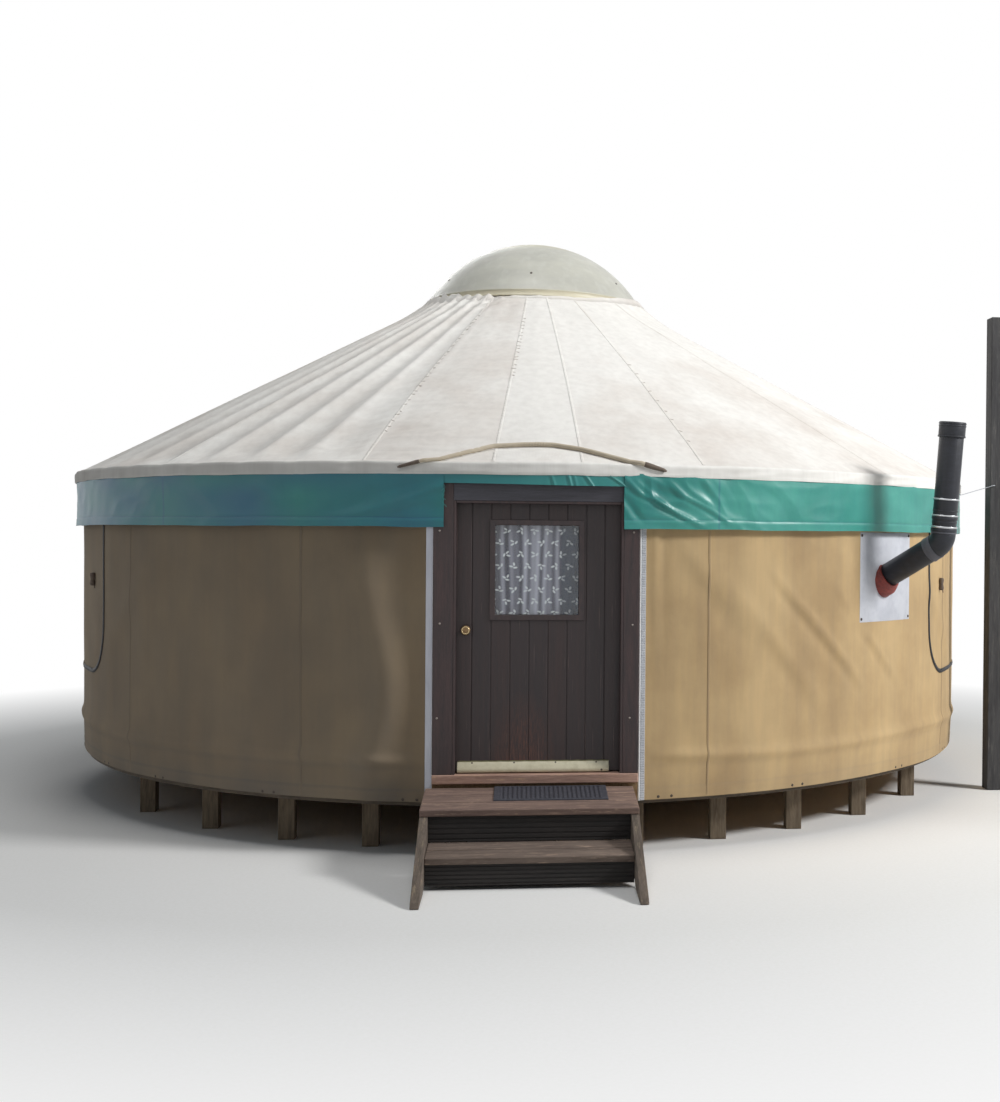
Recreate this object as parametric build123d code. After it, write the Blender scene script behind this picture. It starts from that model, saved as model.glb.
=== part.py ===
"""A round tent-house (yurt) on a low timber deck, in millimetres.

The ground is z = 0, the centre line of the round plan is the Z axis and the door faces -Y.
An azimuth is measured from the door, positive towards +X.
"""
import math
import os

from build123d import *

# Plan and eaves
wall_radius = 3150
wall_thickness = 22
eave_overhang = 50
valance_thickness = 4
valance_bottom = 1776
valance_left_end = 497
valance_right_end = 465
door_strip_bottom = 2002
eave_lip_bottom = 2065
eave_lip_height = 57
eave_lip_thickness = 7
roof_thickness = 20
roof_slope = 28.6
seat_gap = 0.3

# Timber deck
floor_top = 446
floor_thickness = 28
joist_depth = 150
joist_width = 45
joist_spacing = 490
joist_offset = 72
deck_inset = 28
deck_rim_thickness = 18
deck_rim_pieces = 12
leg_width = 90
leg_ring_inset = 192
pier_width = 140
skirt_bottom = 288
skirt_thickness = 5
skirt_inset = 6

# Lattice wall
lath_width = 35
lath_thickness = 12
lattice_clearance = 9
lattice_top = 2120
lath_tip = 66
lattice_half_rows = 4
lattice_section_arc = 24
lattice_sections = 14

# Roof poles and crown
pole_count = 60
pole_width = 28
pole_depth = 38
pole_overhang = 5
pole_socket_depth = 40
socket_clearance = 0.5
crown_inner_radius = 612
crown_hoop_thickness = 43
crown_block_thickness = 50
crown_below_pole = 22
crown_above_pole = 5
crown_pieces = 12
piece_gap = 1

# Dome
dome_radius = 800
dome_thickness = 5
dome_rim_height = 46
dome_height = 458
curb_inset = 12
curb_thickness = 27

# Door frame
frame_width = 1110
frame_depth = 104
frame_inset = 12
frame_side_gap = 2
left_jamb_width = 108
right_jamb_width = 86
stop_width = 14
stop_depth = 55
header_bottom = 1921
sill_thickness = 50
sill_nosing = 10

# Door leaf
leaf_thickness = 44
leaf_gap = 5
leaf_latch_gap = 7
leaf_floor_gap = 6
board_pitch = 103
board_groove = 6
first_groove = 90
window_left = 184
window_width = 513
window_top_margin = 95
window_height = 547
beading_width = 30
beading_proud = 8
glass_thickness = 6
weather_bar_left = 18
weather_bar_width = 820
weather_bar_height = 58
weather_bar_depth = 30
knob_edge = 59
knob_height = 770
knob_radius = 25
knob_reach = 52
knob_neck_radius = 10
knob_rose_radius = 22.5
knob_rose_thickness = 5
knob_ball_start = 22
knob_crown_radius = 15
hinge_count = 3
hinge_height = 100
hinge_flap_width = 30
hinge_flap_thickness = 2
knuckle_radius = 6
pin_radius = 3.5
pin_clearance = 0.5
hinge_offset = 7
hinge_end_margin = 180
curtain_thickness = 14
curtain_margin = 20
curtain_rod_radius = 5

# Edge battens beside the door frame
batten_width = 42
batten_thickness = 12
batten_bottom = 290
batten_top = 1990

# Steps
steps_offset = -30
steps_width = 1114
stringer_thickness = 42
step_fall = 4.5
landing_back_height = 380
landing_board_width = 142
landing_boards = 3
board_gap = 5
step_board_thickness = 34
landing_nosing = 22
riser_thickness = 28
riser_groove = 4
tread_height = 180
tread_board_width = 130
tread_boards = 2
tread_nosing = 14
tread_side_gap = 1
stringer_run = 1020
stringer_heel_run = 750
stringer_soffit = 150
stringer_toe_height = 25
cleat_size = 40
step_leg_width = 70
riser_ground_gap = 20
mat_width = 598
mat_depth = 280
mat_thickness = 9
mat_offset = 79

# Flue
flue_azimuth = 42.85
flue_diameter = 146
flue_wall = 3
flue_height = 1496
flue_rise = 28.8
flue_reach = 404
flue_lean = 4.8
flue_top = 2433
flue_bend_radius = 85
flue_sleeve_height = 92
flue_sleeve_thickness = 6
plate_azimuth = 43.3
plate_width = 570
plate_height = 545
plate_bottom = 1228
plate_thickness = 3
collar_base_radius = 114
collar_top_radius = 84
collar_length = 56
band_heights = (1808, 1877, 1974)
band_height = 22
band_thickness = 5
post_azimuth = 67.5
post_distance = 301
post_width = 110
post_height = 3275
stay_diameter = 5
stay_post_height = 2116

# Rain deflector sewn on the roof above the door: azimuths, and distances in from the eave
deflector_diameter = 28
deflector_runs = ((-9.3, 19), (-7.4, 78), (-4.46, 161), (-1.54, 181), (1.63, 184), (4.31, 141), (6.4, 84), (8.5, 26))
deflector_shoulders = (-10.9, 10.0)
deflector_ends = ((-13.94, 31), (13.08, 37))
deflector_bend_radius = 40
deflector_lift = 1.2

# Worked out from the sizes above
slope = math.tan(math.radians(roof_slope))
valance_radius = wall_radius + eave_overhang
deck_radius = wall_radius - deck_inset
leg_ring_radius = deck_radius - leg_ring_inset
frame_face = wall_radius - frame_inset
landing_back = wall_radius
stringer_foot = landing_back + stringer_run
stringer_heel = landing_back + stringer_heel_run
eave_shoulder = eave_lip_bottom + eave_lip_height
roof_rise = roof_thickness / math.cos(math.radians(roof_slope))
pole_rise = pole_depth / math.cos(math.radians(roof_slope))
wall_inner_radius = wall_radius - wall_thickness
lattice_outer_radius = wall_inner_radius - lattice_clearance
lattice_middle_radius = lattice_outer_radius - lath_thickness
lattice_inner_radius = lattice_middle_radius - lath_thickness
joist_top = floor_top - floor_thickness
joist_bottom = joist_top - joist_depth
deck_inner_radius = deck_radius - deck_rim_thickness
frame_back = frame_face - frame_depth
frame_half = frame_width / 2
leaf_front = frame_face - stop_depth - leaf_gap
leaf_back = leaf_front - leaf_thickness
latch_side = -frame_half + left_jamb_width
hinge_side = frame_half - right_jamb_width
leaf_left = latch_side + leaf_latch_gap
leaf_right = hinge_side - leaf_gap
leaf_bottom = floor_top + leaf_floor_gap
leaf_top = header_bottom - leaf_gap
hinge_x = hinge_side - leaf_gap / 2
hinge_y = leaf_back - hinge_offset
pole_outer_radius = lattice_middle_radius + pole_overhang
crown_block_inner = crown_inner_radius + crown_hoop_thickness
crown_outer_radius = crown_block_inner + crown_block_thickness
pole_inner_radius = crown_outer_radius - pole_socket_depth
roof_top_radius = crown_outer_radius + 2 * crown_above_pole


def roof_outside(radius):
    """Height of the outer face of the roof cloth at a radius."""
    return eave_shoulder + (valance_radius - radius) * slope


def pole_topside(radius):
    """Height of the upper face of a roof pole at a radius."""
    return roof_outside(radius) - roof_rise - seat_gap


def pole_underside(radius):
    """Height of the lower face of a roof pole at a radius."""
    return pole_topside(radius) - pole_rise


def landing_top(depth):
    """Height of the walking face of the landing at a depth in front of the centre."""
    return landing_back_height - (depth - landing_back) * math.tan(math.radians(step_fall))


def ring_sector(outline, az_start, az_end):
    """Turn a closed outline of (radius, height) points about the Z axis between two azimuths."""
    points = [Vector(radius, 0, height) for radius, height in outline]
    face = Face(Wire.make_polygon(points, close=True))
    solid = Solid.revolve(face, az_end - az_start, Axis.Z)
    return solid.rotate(Axis.Z, az_start - 90)


def ring_pieces(outline, az_start, az_end, count, gap):
    """The same ring as equal pieces with a small gap between neighbours."""
    outer = max(radius for radius, height in outline)
    gap_angle = math.degrees(gap / outer)
    step = (az_end - az_start) / count
    pieces = []
    for index in range(count):
        start = az_start + index * step
        pieces.append(ring_sector(outline, start + gap_angle / 2, start + step - gap_angle / 2))
    return pieces


def block(x_low, x_high, depth_low, depth_high, z_low, z_high):
    """A box given by its sides; depths are measured from the centre towards the door."""
    size = (x_high - x_low, depth_high - depth_low, z_high - z_low)
    centre = ((x_low + x_high) / 2, -(depth_low + depth_high) / 2, (z_low + z_high) / 2)
    return Pos(*centre) * Box(*size)


def side_profile(points, x_low, x_high):
    """A prism across the steps from an outline of (depth, height) points."""
    corners = [Vector(x_low, -depth, height) for depth, height in points]
    face = Face(Wire.make_polygon(corners, close=True))
    return Solid.extrude(face, Vector(x_high - x_low, 0, 0))


def save(name, *solids):
    """Write one named piece, of one or more solids, to its own file."""
    shape = solids[0] if len(solids) == 1 else Compound(children=list(solids))
    shape.label = name
    export_step(shape, f"parts/{name}.step")


# Deck
def joist(x):
    """A floor joist along Y that ends inside the rim, and behind the door's bearer."""
    edge = abs(x) + joist_width / 2
    reach = math.sqrt((deck_inner_radius - seat_gap) ** 2 - edge ** 2)
    front = min(reach, frame_back - seat_gap) if edge - joist_width < frame_half else reach
    return block(x - joist_width / 2, x + joist_width / 2, -reach, front, joist_bottom, joist_top)


def make_deck():
    """The round floor with its rim, joists, legs and pier, and the bearer under the doorway."""
    door_angle = math.degrees(math.asin((frame_half + piece_gap) / deck_inner_radius))
    floor = Pos(0, 0, joist_top + floor_thickness / 2) * Cylinder(deck_radius, floor_thickness)
    doorway = block(-frame_half, frame_half, frame_back, deck_radius, joist_top - 1, floor_top + 1)
    save("floor_boards", floor - doorway)
    rim = [
        (deck_inner_radius, joist_bottom),
        (deck_radius, joist_bottom),
        (deck_radius, joist_top - seat_gap),
        (deck_inner_radius, joist_top - seat_gap),
    ]
    save("deck_rim", *ring_pieces(rim, door_angle, 360 - door_angle, deck_rim_pieces, piece_gap))
    side_count = math.ceil(deck_inner_radius / joist_spacing)
    places = [joist_offset + index * joist_spacing for index in range(-side_count, side_count + 1)]
    places = [x for x in places if abs(x) < deck_inner_radius - joist_width]
    save("floor_joists", *[joist(x) for x in places])
    legs = []
    for x in places:
        if abs(x) < leg_ring_radius - leg_width:
            depth = math.sqrt(leg_ring_radius ** 2 - x ** 2)
            legs.append(leg(x, depth))
            legs.append(leg(x, -depth))
        if x != joist_offset:
            legs.append(leg(x, 0))
    save("deck_legs", *legs)
    half = pier_width / 2
    # The pier stands on the centre of the plan and reaches under the middle joist.
    save("centre_pier", block(-half, joist_offset + half, -half, half, 0, joist_bottom))
    bearer = block(-frame_half, frame_half, frame_back, deck_radius, joist_bottom, floor_top - sill_thickness)
    save("door_bearer", bearer)


def leg(x, depth):
    """A short square leg from the ground to the joists."""
    half = leg_width / 2
    return block(x - half, x + half, depth - half, depth + half, 0, joist_bottom)


# Walls
def wall_outline():
    """The felt and cloth of the wall, with the thin skirt over the deck's rim."""
    top = pole_topside(wall_radius) - seat_gap
    return [
        (wall_radius, top),
        (wall_radius, floor_top),
        (wall_radius - skirt_inset, skirt_bottom),
        (wall_radius - skirt_inset - skirt_thickness, skirt_bottom),
        (deck_radius + skirt_thickness, floor_top - skirt_thickness),
        (wall_inner_radius, floor_top),
        (wall_inner_radius, top),
    ]


wall_names = ("front_right", "right", "back_right", "back_left", "left", "front_left")


def flue_hole(clearance):
    """A cylinder along the sloping flue, wider than the pipe by a clearance."""
    length = 4 * flue_diameter
    bar = Cylinder(flue_diameter / 2 + clearance, length)
    bar = bar.rotate(Axis.X, 90 - flue_rise)
    bar = bar.translate((0, -wall_radius, flue_height))
    return bar.rotate(Axis.Z, flue_azimuth)


def make_wall():
    """The wall from jamb to jamb in six panels, one of them pierced by the flue."""
    start = math.degrees(math.asin((frame_half + frame_side_gap) / wall_inner_radius))
    step = (360 - 2 * start) / len(wall_names)
    for index, name in enumerate(wall_names):
        panel = ring_sector(wall_outline(), start + index * step, start + (index + 1) * step)
        if start + index * step < flue_azimuth < start + (index + 1) * step:
            panel = panel - flue_hole(3 * socket_clearance)
        save(f"wall_canvas_{name}", panel)


def lattice_shell(layer_inner, lath_bends):
    """An upright wall in flat faces, one for each pole spacing, whose corners lie midway between poles."""
    pitch_angle = 360 / pole_count
    corner = 1 / math.cos(math.radians(pitch_angle / 2))
    azimuths = [math.radians((index + 0.5) * pitch_angle) for index in range(-lath_bends, lath_bends)]
    points = []
    for radius, order in ((layer_inner, azimuths), (layer_inner + lath_thickness, azimuths[::-1])):
        for azimuth in order:
            x = radius * corner * math.sin(azimuth)
            points.append(Vector(x, -radius * corner * math.cos(azimuth), floor_top))
    face = Face(Wire.make_polygon(points, close=True))
    return Solid.extrude(face, Vector(0, 0, lattice_top - floor_top))


def lath(layer_inner, lean, azimuth):
    """One lath: the strip that a leaning slab cuts out of a thin upright wall."""
    shell = lattice_shell(layer_inner, math.ceil(lattice_section_arc * pole_count / 360) + 1)
    height = lattice_top - floor_top
    slab = Box(lath_width, 3 * lattice_inner_radius / 2, 2 * height)
    slab = slab.rotate(Axis.Y, lean)
    slab = slab.translate((0, -lattice_inner_radius, (lattice_top + floor_top) / 2))
    return (shell & slab).rotate(Axis.Z, azimuth)


def lattice_section(az_start, az_end):
    """Crossing laths in two layers, fused where they cross and cut at the section's two ends."""
    pitch_angle = 360 / pole_count
    pitch = math.radians(pitch_angle) * lattice_middle_radius
    half_height = (lattice_top - floor_top) / 2
    half_diamond = (half_height - lath_tip) / lattice_half_rows
    lean = math.degrees(math.atan(pitch / 2 / half_diamond))
    spread = math.degrees(half_height * math.tan(math.radians(lean)) / lattice_inner_radius)
    height_margin = 10
    bounds = ring_sector(
        [
            (lattice_inner_radius - height_margin, floor_top - height_margin),
            (lattice_outer_radius + height_margin, floor_top - height_margin),
            (lattice_outer_radius + height_margin, lattice_top + height_margin),
            (lattice_inner_radius - height_margin, lattice_top + height_margin),
        ],
        az_start,
        az_end,
    )
    first = math.ceil((az_start - spread) / pitch_angle)
    last = math.floor((az_end + spread) / pitch_angle)
    strips = []
    for index in range(first, last + 1):
        for layer, side in ((lattice_inner_radius, 1), (lattice_middle_radius, -1)):
            strips.append(lath(layer, side * lean, index * pitch_angle) & bounds)
    strips = [solid for strip in strips for solid in strip.solids()]
    return strips[0].fuse(*strips[1:])


def make_lattice():
    """Fourteen equal sections around the wall; the end ones reach the door's jambs."""
    first_edge = math.degrees(math.asin((frame_half + 1) / lattice_inner_radius))
    margin = (360 - lattice_sections * lattice_section_arc) / 2
    gap_angle = math.degrees(piece_gap / lattice_outer_radius)
    plain = lattice_section(gap_angle - lattice_section_arc / 2, lattice_section_arc / 2 - gap_angle)
    start = lattice_section(first_edge, margin + lattice_section_arc - gap_angle)
    end = start.mirror(Plane.YZ)
    sections = [start]
    for index in range(1, lattice_sections - 1):
        azimuth = margin + (index + 0.5) * lattice_section_arc
        sections.append(plain.rotate(Axis.Z, azimuth))
    sections.append(end)
    quarter = math.ceil(lattice_sections / 4)
    half = lattice_sections // 2
    save("lattice_front_right", *sections[:quarter])
    save("lattice_back_right", *sections[quarter:half])
    save("lattice_back_left", *sections[half:lattice_sections - quarter])
    save("lattice_front_left", *sections[lattice_sections - quarter:])


# Roof
def roof_pole(azimuth):
    """A straight pole from the top of the wall into its socket in the crown."""
    start = pole_outer_radius
    end = pole_inner_radius
    corners = [
        (start, pole_underside(start)),
        (start, pole_topside(start)),
        (end, pole_topside(end)),
        (end, pole_underside(end)),
    ]
    points = [Vector(-pole_width / 2, -radius, height) for radius, height in corners]
    face = Face(Wire.make_polygon(points, close=True))
    return Solid.extrude(face, Vector(pole_width, 0, 0)).rotate(Axis.Z, azimuth)


def pole_socket(azimuth):
    """The slot for a pole's end, a clearance wider and taller than the pole."""
    start = crown_outer_radius + pole_depth
    end = pole_inner_radius - socket_clearance
    corners = [
        (start, pole_underside(start) - socket_clearance),
        (start, pole_topside(start) + socket_clearance),
        (end, pole_topside(end) + socket_clearance),
        (end, pole_underside(end) - socket_clearance),
    ]
    half = pole_width / 2 + socket_clearance
    points = [Vector(-half, -radius, height) for radius, height in corners]
    face = Face(Wire.make_polygon(points, close=True))
    return Solid.extrude(face, Vector(2 * half, 0, 0)).rotate(Axis.Z, azimuth)


def make_poles():
    half = pole_count // 2
    step = 360 / pole_count
    save("roof_poles_right", *[roof_pole(place * step) for place in range(half)])
    save("roof_poles_left", *[roof_pole(place * step) for place in range(half, pole_count)])


def make_crown():
    """An outer ring of socket blocks around an inner hoop, the joints of the two staggered."""
    bottom = pole_underside(crown_outer_radius) - crown_below_pole
    top = pole_topside(crown_block_inner) + crown_above_pole
    block_outline = [
        (crown_block_inner + seat_gap, bottom),
        (crown_outer_radius, bottom),
        (crown_outer_radius, top),
        (crown_block_inner + seat_gap, top),
    ]
    hoop_outline = [
        (crown_inner_radius, bottom),
        (crown_block_inner, bottom),
        (crown_block_inner, top),
        (crown_inner_radius, top),
    ]
    pole_step = 360 / pole_count
    arc = 360 / crown_pieces
    sockets = [pole_socket(index * pole_step) for index in range(round(arc / pole_step))]
    gap_angle = math.degrees(piece_gap / crown_outer_radius)
    start = -pole_step / 2
    first = ring_sector(block_outline, start + gap_angle, start + arc - gap_angle) - sockets
    save("crown_socket_blocks", *[first.rotate(Axis.Z, index * arc) for index in range(crown_pieces)])
    offset = arc / 2 + start
    save("crown_hoop", *ring_pieces(hoop_outline, offset, offset + 360, crown_pieces, piece_gap))
    return top


def make_dome(crown_top):
    """The clear cap: a rim that stands on the roof cloth, then part of a sphere."""
    base = roof_outside(dome_radius - dome_thickness) + seat_gap
    spring = base + dome_rim_height
    radius = (dome_radius ** 2 + dome_height ** 2) / (2 * dome_height)
    centre = spring + dome_height - radius
    half_angle = math.asin(dome_radius / radius) / 2

    def on_sphere(sphere_radius, angle):
        return (sphere_radius * math.sin(angle), 0, centre + sphere_radius * math.cos(angle))

    inner = radius - dome_thickness
    inner_spring = centre + math.sqrt(inner ** 2 - (dome_radius - dome_thickness) ** 2)
    inner_half = math.asin((dome_radius - dome_thickness) / inner) / 2
    outer_arc = Edge.make_three_point_arc(
        (dome_radius, 0, spring), on_sphere(radius, half_angle), (0, 0, centre + radius)
    )
    inner_arc = Edge.make_three_point_arc(
        (0, 0, centre + inner), on_sphere(inner, inner_half), (dome_radius - dome_thickness, 0, inner_spring)
    )
    outline = Wire(
        [
            Edge.make_line((dome_radius - dome_thickness, 0, base), (dome_radius, 0, base)),
            Edge.make_line((dome_radius, 0, base), (dome_radius, 0, spring)),
            outer_arc,
            Edge.make_line((0, 0, centre + radius), (0, 0, centre + inner)),
            inner_arc,
            Edge.make_line(
                (dome_radius - dome_thickness, 0, inner_spring), (dome_radius - dome_thickness, 0, base)
            ),
        ]
    )
    save("dome", Solid.revolve(Face(outline), 360, Axis.Z))
    # The upright curb stands on the crown, and its top outer edge carries the cap.
    curb_outer = crown_outer_radius - curb_inset
    curb_top = centre + math.sqrt(inner ** 2 - curb_outer ** 2) - seat_gap
    curb = [
        (curb_outer - curb_thickness, crown_top),
        (curb_outer, crown_top),
        (curb_outer, curb_top),
        (curb_outer - curb_thickness, curb_top),
    ]
    save("dome_curb", *ring_pieces(curb, 0, 360, crown_pieces, piece_gap))


roof_names = ("front", "front_right", "back_right", "back", "back_left", "front_left")


def make_roof():
    """The roof cloth with its turned-down lip, in six equal gores."""
    lip_inner = valance_radius - eave_lip_thickness
    outline = [
        (valance_radius, eave_lip_bottom),
        (valance_radius, eave_shoulder),
        (roof_top_radius, roof_outside(roof_top_radius)),
        (roof_top_radius, roof_outside(roof_top_radius) - roof_rise),
        (lip_inner, roof_outside(lip_inner) - roof_rise),
        (lip_inner, eave_lip_bottom),
    ]
    arc = 360 / len(roof_names)
    for index, name in enumerate(roof_names):
        save(f"roof_canvas_{name}", ring_sector(outline, (index - 0.5) * arc, (index + 0.5) * arc))


def make_valance():
    """The weather strip that hangs from the eave, cut short over the door."""
    left = math.degrees(math.asin(valance_left_end / valance_radius))
    right = math.degrees(math.asin(valance_right_end / valance_radius))
    inner = valance_radius - valance_thickness
    top = eave_lip_bottom - seat_gap
    full = [(inner, valance_bottom), (valance_radius, valance_bottom), (valance_radius, top), (inner, top)]
    pieces = ring_pieces(full, right, 360 - left, 2 * len(roof_names), piece_gap)
    over_door = [(inner, door_strip_bottom), (valance_radius, door_strip_bottom), (valance_radius, top), (inner, top)]
    gap_angle = math.degrees(piece_gap / valance_radius)
    save("valance", *pieces, ring_sector(over_door, gap_angle - left, right - gap_angle))


def make_deflector():
    """A padded roll on the roof, highest over the door, whose two ends hang over the eave."""
    half = deflector_diameter / 2
    lift = half / math.cos(math.radians(roof_slope)) + deflector_lift
    beside_lip = valance_radius + half + deflector_lift
    stations = []
    for azimuth, inward in deflector_runs:
        radius = valance_radius - inward
        stations.append((azimuth, radius, roof_outside(radius) + lift))
    left_end, right_end = deflector_ends
    shoulder = half - 2 * deflector_lift
    for place, azimuth, end in ((0, deflector_shoulders[0], left_end), (-1, deflector_shoulders[1], right_end)):
        over = (azimuth, valance_radius + half - deflector_lift / 2, eave_shoulder + shoulder)
        middle = ((azimuth + end[0]) / 2, beside_lip, eave_shoulder + (shoulder - end[1]) / 2)
        tip = (end[0], beside_lip, eave_shoulder - end[1])
        stations = [tip, middle, over] + stations if place == 0 else stations + [over, middle, tip]
    points = []
    for azimuth, radius, height in stations:
        angle = math.radians(azimuth)
        points.append(Vector(radius * math.sin(angle), -radius * math.cos(angle), height))
    path = FilletPolyline(*points, radius=deflector_bend_radius)
    start = Plane(origin=path @ 0, z_dir=path % 0)
    circle = Face(Wire(Edge.make_circle(deflector_diameter / 2, start)))
    save("rain_deflector", Solid.sweep(circle, path))


# Door frame and door
def make_door_frame():
    """Jambs, header, sill and the stops that the leaf closes against."""
    header_top = pole_underside(pole_outer_radius) - seat_gap
    save("door_jamb_left", block(-frame_half, latch_side, frame_back, frame_face, floor_top, header_top))
    save("door_jamb_right", block(hinge_side, frame_half, frame_back, frame_face, floor_top, header_top))
    save("door_header", block(latch_side, hinge_side, frame_back, frame_face, header_bottom, header_top))
    sill_bottom = floor_top - sill_thickness
    save("door_sill", block(-frame_half, frame_half, frame_back, frame_face + sill_nosing, sill_bottom, floor_top))
    stop_back = frame_face - stop_depth
    stop_top = header_bottom - stop_width
    left = block(latch_side, latch_side + stop_width, stop_back, frame_face, floor_top, header_bottom)
    right = block(hinge_side - stop_width, hinge_side, stop_back, frame_face, floor_top, header_bottom)
    over = block(
        latch_side + stop_width + seat_gap,
        hinge_side - stop_width - seat_gap,
        stop_back,
        frame_face,
        stop_top,
        header_bottom,
    )
    save("door_stops", left, right, over)


def window_edges(margin):
    """Sides of the window opening, grown by a margin."""
    left = leaf_left + window_left - margin
    right = leaf_left + window_left + window_width + margin
    top = leaf_top - window_top_margin + margin
    bottom = leaf_top - window_top_margin - window_height - margin
    return left, right, bottom, top


def make_door():
    """The boarded leaf with its window, bar, knobs, hinges and the curtain on its rod."""
    left, right, bottom, top = window_edges(-beading_width)
    leaf = block(leaf_left, leaf_right, leaf_back, leaf_front, leaf_bottom, leaf_top)
    leaf = leaf - block(left, right, leaf_back - 1, leaf_front + 1, bottom, top)
    place = leaf_left + first_groove
    while place < leaf_right - board_groove:
        groove = Box(board_groove, board_groove, leaf_top - leaf_bottom + 2).rotate(Axis.Z, 45)
        leaf = leaf - groove.translate((place, -leaf_front, (leaf_top + leaf_bottom) / 2))
        place += board_pitch
    middle = (leaf_front + leaf_back) / 2
    rebate = glass_thickness + seat_gap
    leaf = leaf - window_rebate(rebate, middle)
    save("door_leaf", leaf)
    save("door_glass", window_pane(middle))
    save("door_window_beading", window_beading())
    bar_left = leaf_left + weather_bar_left
    bar_front = leaf_front + weather_bar_depth
    bar_top = leaf_bottom + weather_bar_height
    bar = side_profile(
        [
            (leaf_front, leaf_bottom),
            (bar_front, leaf_bottom),
            (bar_front, leaf_bottom + weather_bar_height / 3),
            (leaf_front, bar_top),
        ],
        bar_left,
        bar_left + weather_bar_width,
    )
    save("door_weather_bar", bar)
    save("door_knobs", door_knob(1), door_knob(-1))
    make_hinges()
    left, right, bottom, top = window_edges(curtain_margin - beading_width)
    rod_drop = 2 * curtain_rod_radius + 2 * seat_gap
    curtain_front = leaf_back - 1
    curtain = block(left, right, curtain_front - curtain_thickness, curtain_front, bottom, top)
    save("door_curtain", curtain)
    rod_depth = leaf_back - curtain_rod_radius - seat_gap
    rod = Cylinder(curtain_rod_radius, right - left + rod_drop).rotate(Axis.Y, 90)
    save("door_curtain_rod", rod.translate(((left + right) / 2, -rod_depth, top + rod_drop / 2)))


def window_rebate(depth, middle):
    """The groove that the glass sits in, half-way through the leaf."""
    left, right, bottom, top = window_edges(socket_clearance - beading_width / 2)
    return block(left, right, middle - depth / 2, middle + depth / 2, bottom, top)


def window_pane(middle):
    """The glass, half-way into its groove on each side."""
    left, right, bottom, top = window_edges(-beading_width / 2)
    half = glass_thickness / 2
    return block(left, right, middle - half, middle + half, bottom, top)


def window_beading():
    """A raised frame of bevelled strips around the glass on the outer face."""
    left, right, bottom, top = window_edges(0)
    inner_left, inner_right, inner_bottom, inner_top = window_edges(-beading_width - seat_gap)
    frame = block(left, right, leaf_front, leaf_front + beading_proud, bottom, top)
    return frame - block(
        inner_left, inner_right, leaf_front - 1, leaf_front + beading_proud + 1, inner_bottom, inner_top
    )


def door_knob(side):
    """A turned knob with a round rose; side is 1 outside and -1 inside."""
    face = leaf_front if side > 0 else leaf_back
    widest = (knob_ball_start + 2 * knob_reach) / 3
    profile = [
        (0, 0),
        (knob_rose_radius, 0),
        (knob_neck_radius, knob_rose_thickness),
        (knob_neck_radius, knob_ball_start),
        (knob_radius, widest),
        (knob_crown_radius, knob_reach),
        (0, knob_reach),
    ]
    outline = Wire.make_polygon([Vector(radius, 0, reach) for radius, reach in profile], close=True)
    knob = Solid.revolve(Face(outline), 360, Axis.Z).rotate(Axis.X, 90 * side)
    return knob.translate((leaf_left + knob_edge, -face, leaf_bottom + knob_height))


def make_hinges():
    """Butt hinges inside the room: the pin and two knuckles stay, the middle knuckle turns."""
    third = hinge_height / 3
    fixed = []
    turning = []
    space = leaf_top - leaf_bottom - 2 * hinge_end_margin
    for index in range(hinge_count):
        centre = leaf_bottom + hinge_end_margin + space * index / (hinge_count - 1)
        low = centre - hinge_height / 2
        pin = Pos(hinge_x, -hinge_y, centre) * Cylinder(pin_radius, hinge_height)
        plate = block(
            hinge_side - hinge_flap_thickness,
            hinge_side,
            hinge_y + knuckle_radius / 2,
            hinge_y + hinge_flap_width,
            low,
            low + hinge_height,
        )
        moving_plate = block(
            leaf_right,
            leaf_right + hinge_flap_thickness,
            leaf_back,
            hinge_y + hinge_flap_width,
            low,
            low + hinge_height,
        )
        ends = [hinge_knuckle(low, third), hinge_knuckle(low + 2 * third, third)]
        fixed.append(hinge_side_arm(plate, ends, pin, low, third))
        turning.append(hinge_moving_arm(moving_plate, low, third))
    save("hinge_frame_sides", *fixed)
    save("hinge_door_sides", *turning)


def hinge_knuckle(low, height):
    """A round knuckle on the hinge's axis."""
    return Pos(hinge_x, -hinge_y, low + height / 2) * Cylinder(knuckle_radius, height)


def hinge_side_arm(plate, ends, pin, low, third):
    """The fixed half: flap in the gap beside the leaf, end knuckles and pin."""
    middle_gap = block(
        hinge_x - 2 * knuckle_radius,
        hinge_side + 1,
        hinge_y - knuckle_radius,
        hinge_y + hinge_offset,
        low + third - pin_clearance,
        low + 2 * third + pin_clearance,
    )
    return (plate - middle_gap) + ends + pin


def hinge_moving_arm(plate, low, third):
    """The moving half: flap on the leaf's edge, a short web and the middle knuckle."""
    web = block(
        leaf_right,
        leaf_right + hinge_flap_thickness,
        hinge_y,
        leaf_back,
        low + third + pin_clearance,
        low + 2 * third - pin_clearance,
    )
    knuckle = hinge_knuckle(low + third + pin_clearance, third - 2 * pin_clearance)
    bore = Pos(hinge_x, -hinge_y, low + hinge_height / 2) * Cylinder(pin_radius + pin_clearance, hinge_height)
    return (plate + web + knuckle) - bore


def make_battens():
    """Flat battens that clamp the two ends of the wall cloth beside the door frame."""
    height = batten_top - batten_bottom
    middle = wall_radius + seat_gap + batten_thickness / 2
    start = math.asin((frame_half + frame_side_gap) / wall_radius)
    angle = math.degrees(start + batten_width / 2 / wall_radius)
    batten = Pos(0, -middle, batten_bottom + height / 2) * Box(batten_width, batten_thickness, height)
    save("edge_battens", batten.rotate(Axis.Z, angle), batten.rotate(Axis.Z, -angle))


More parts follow.
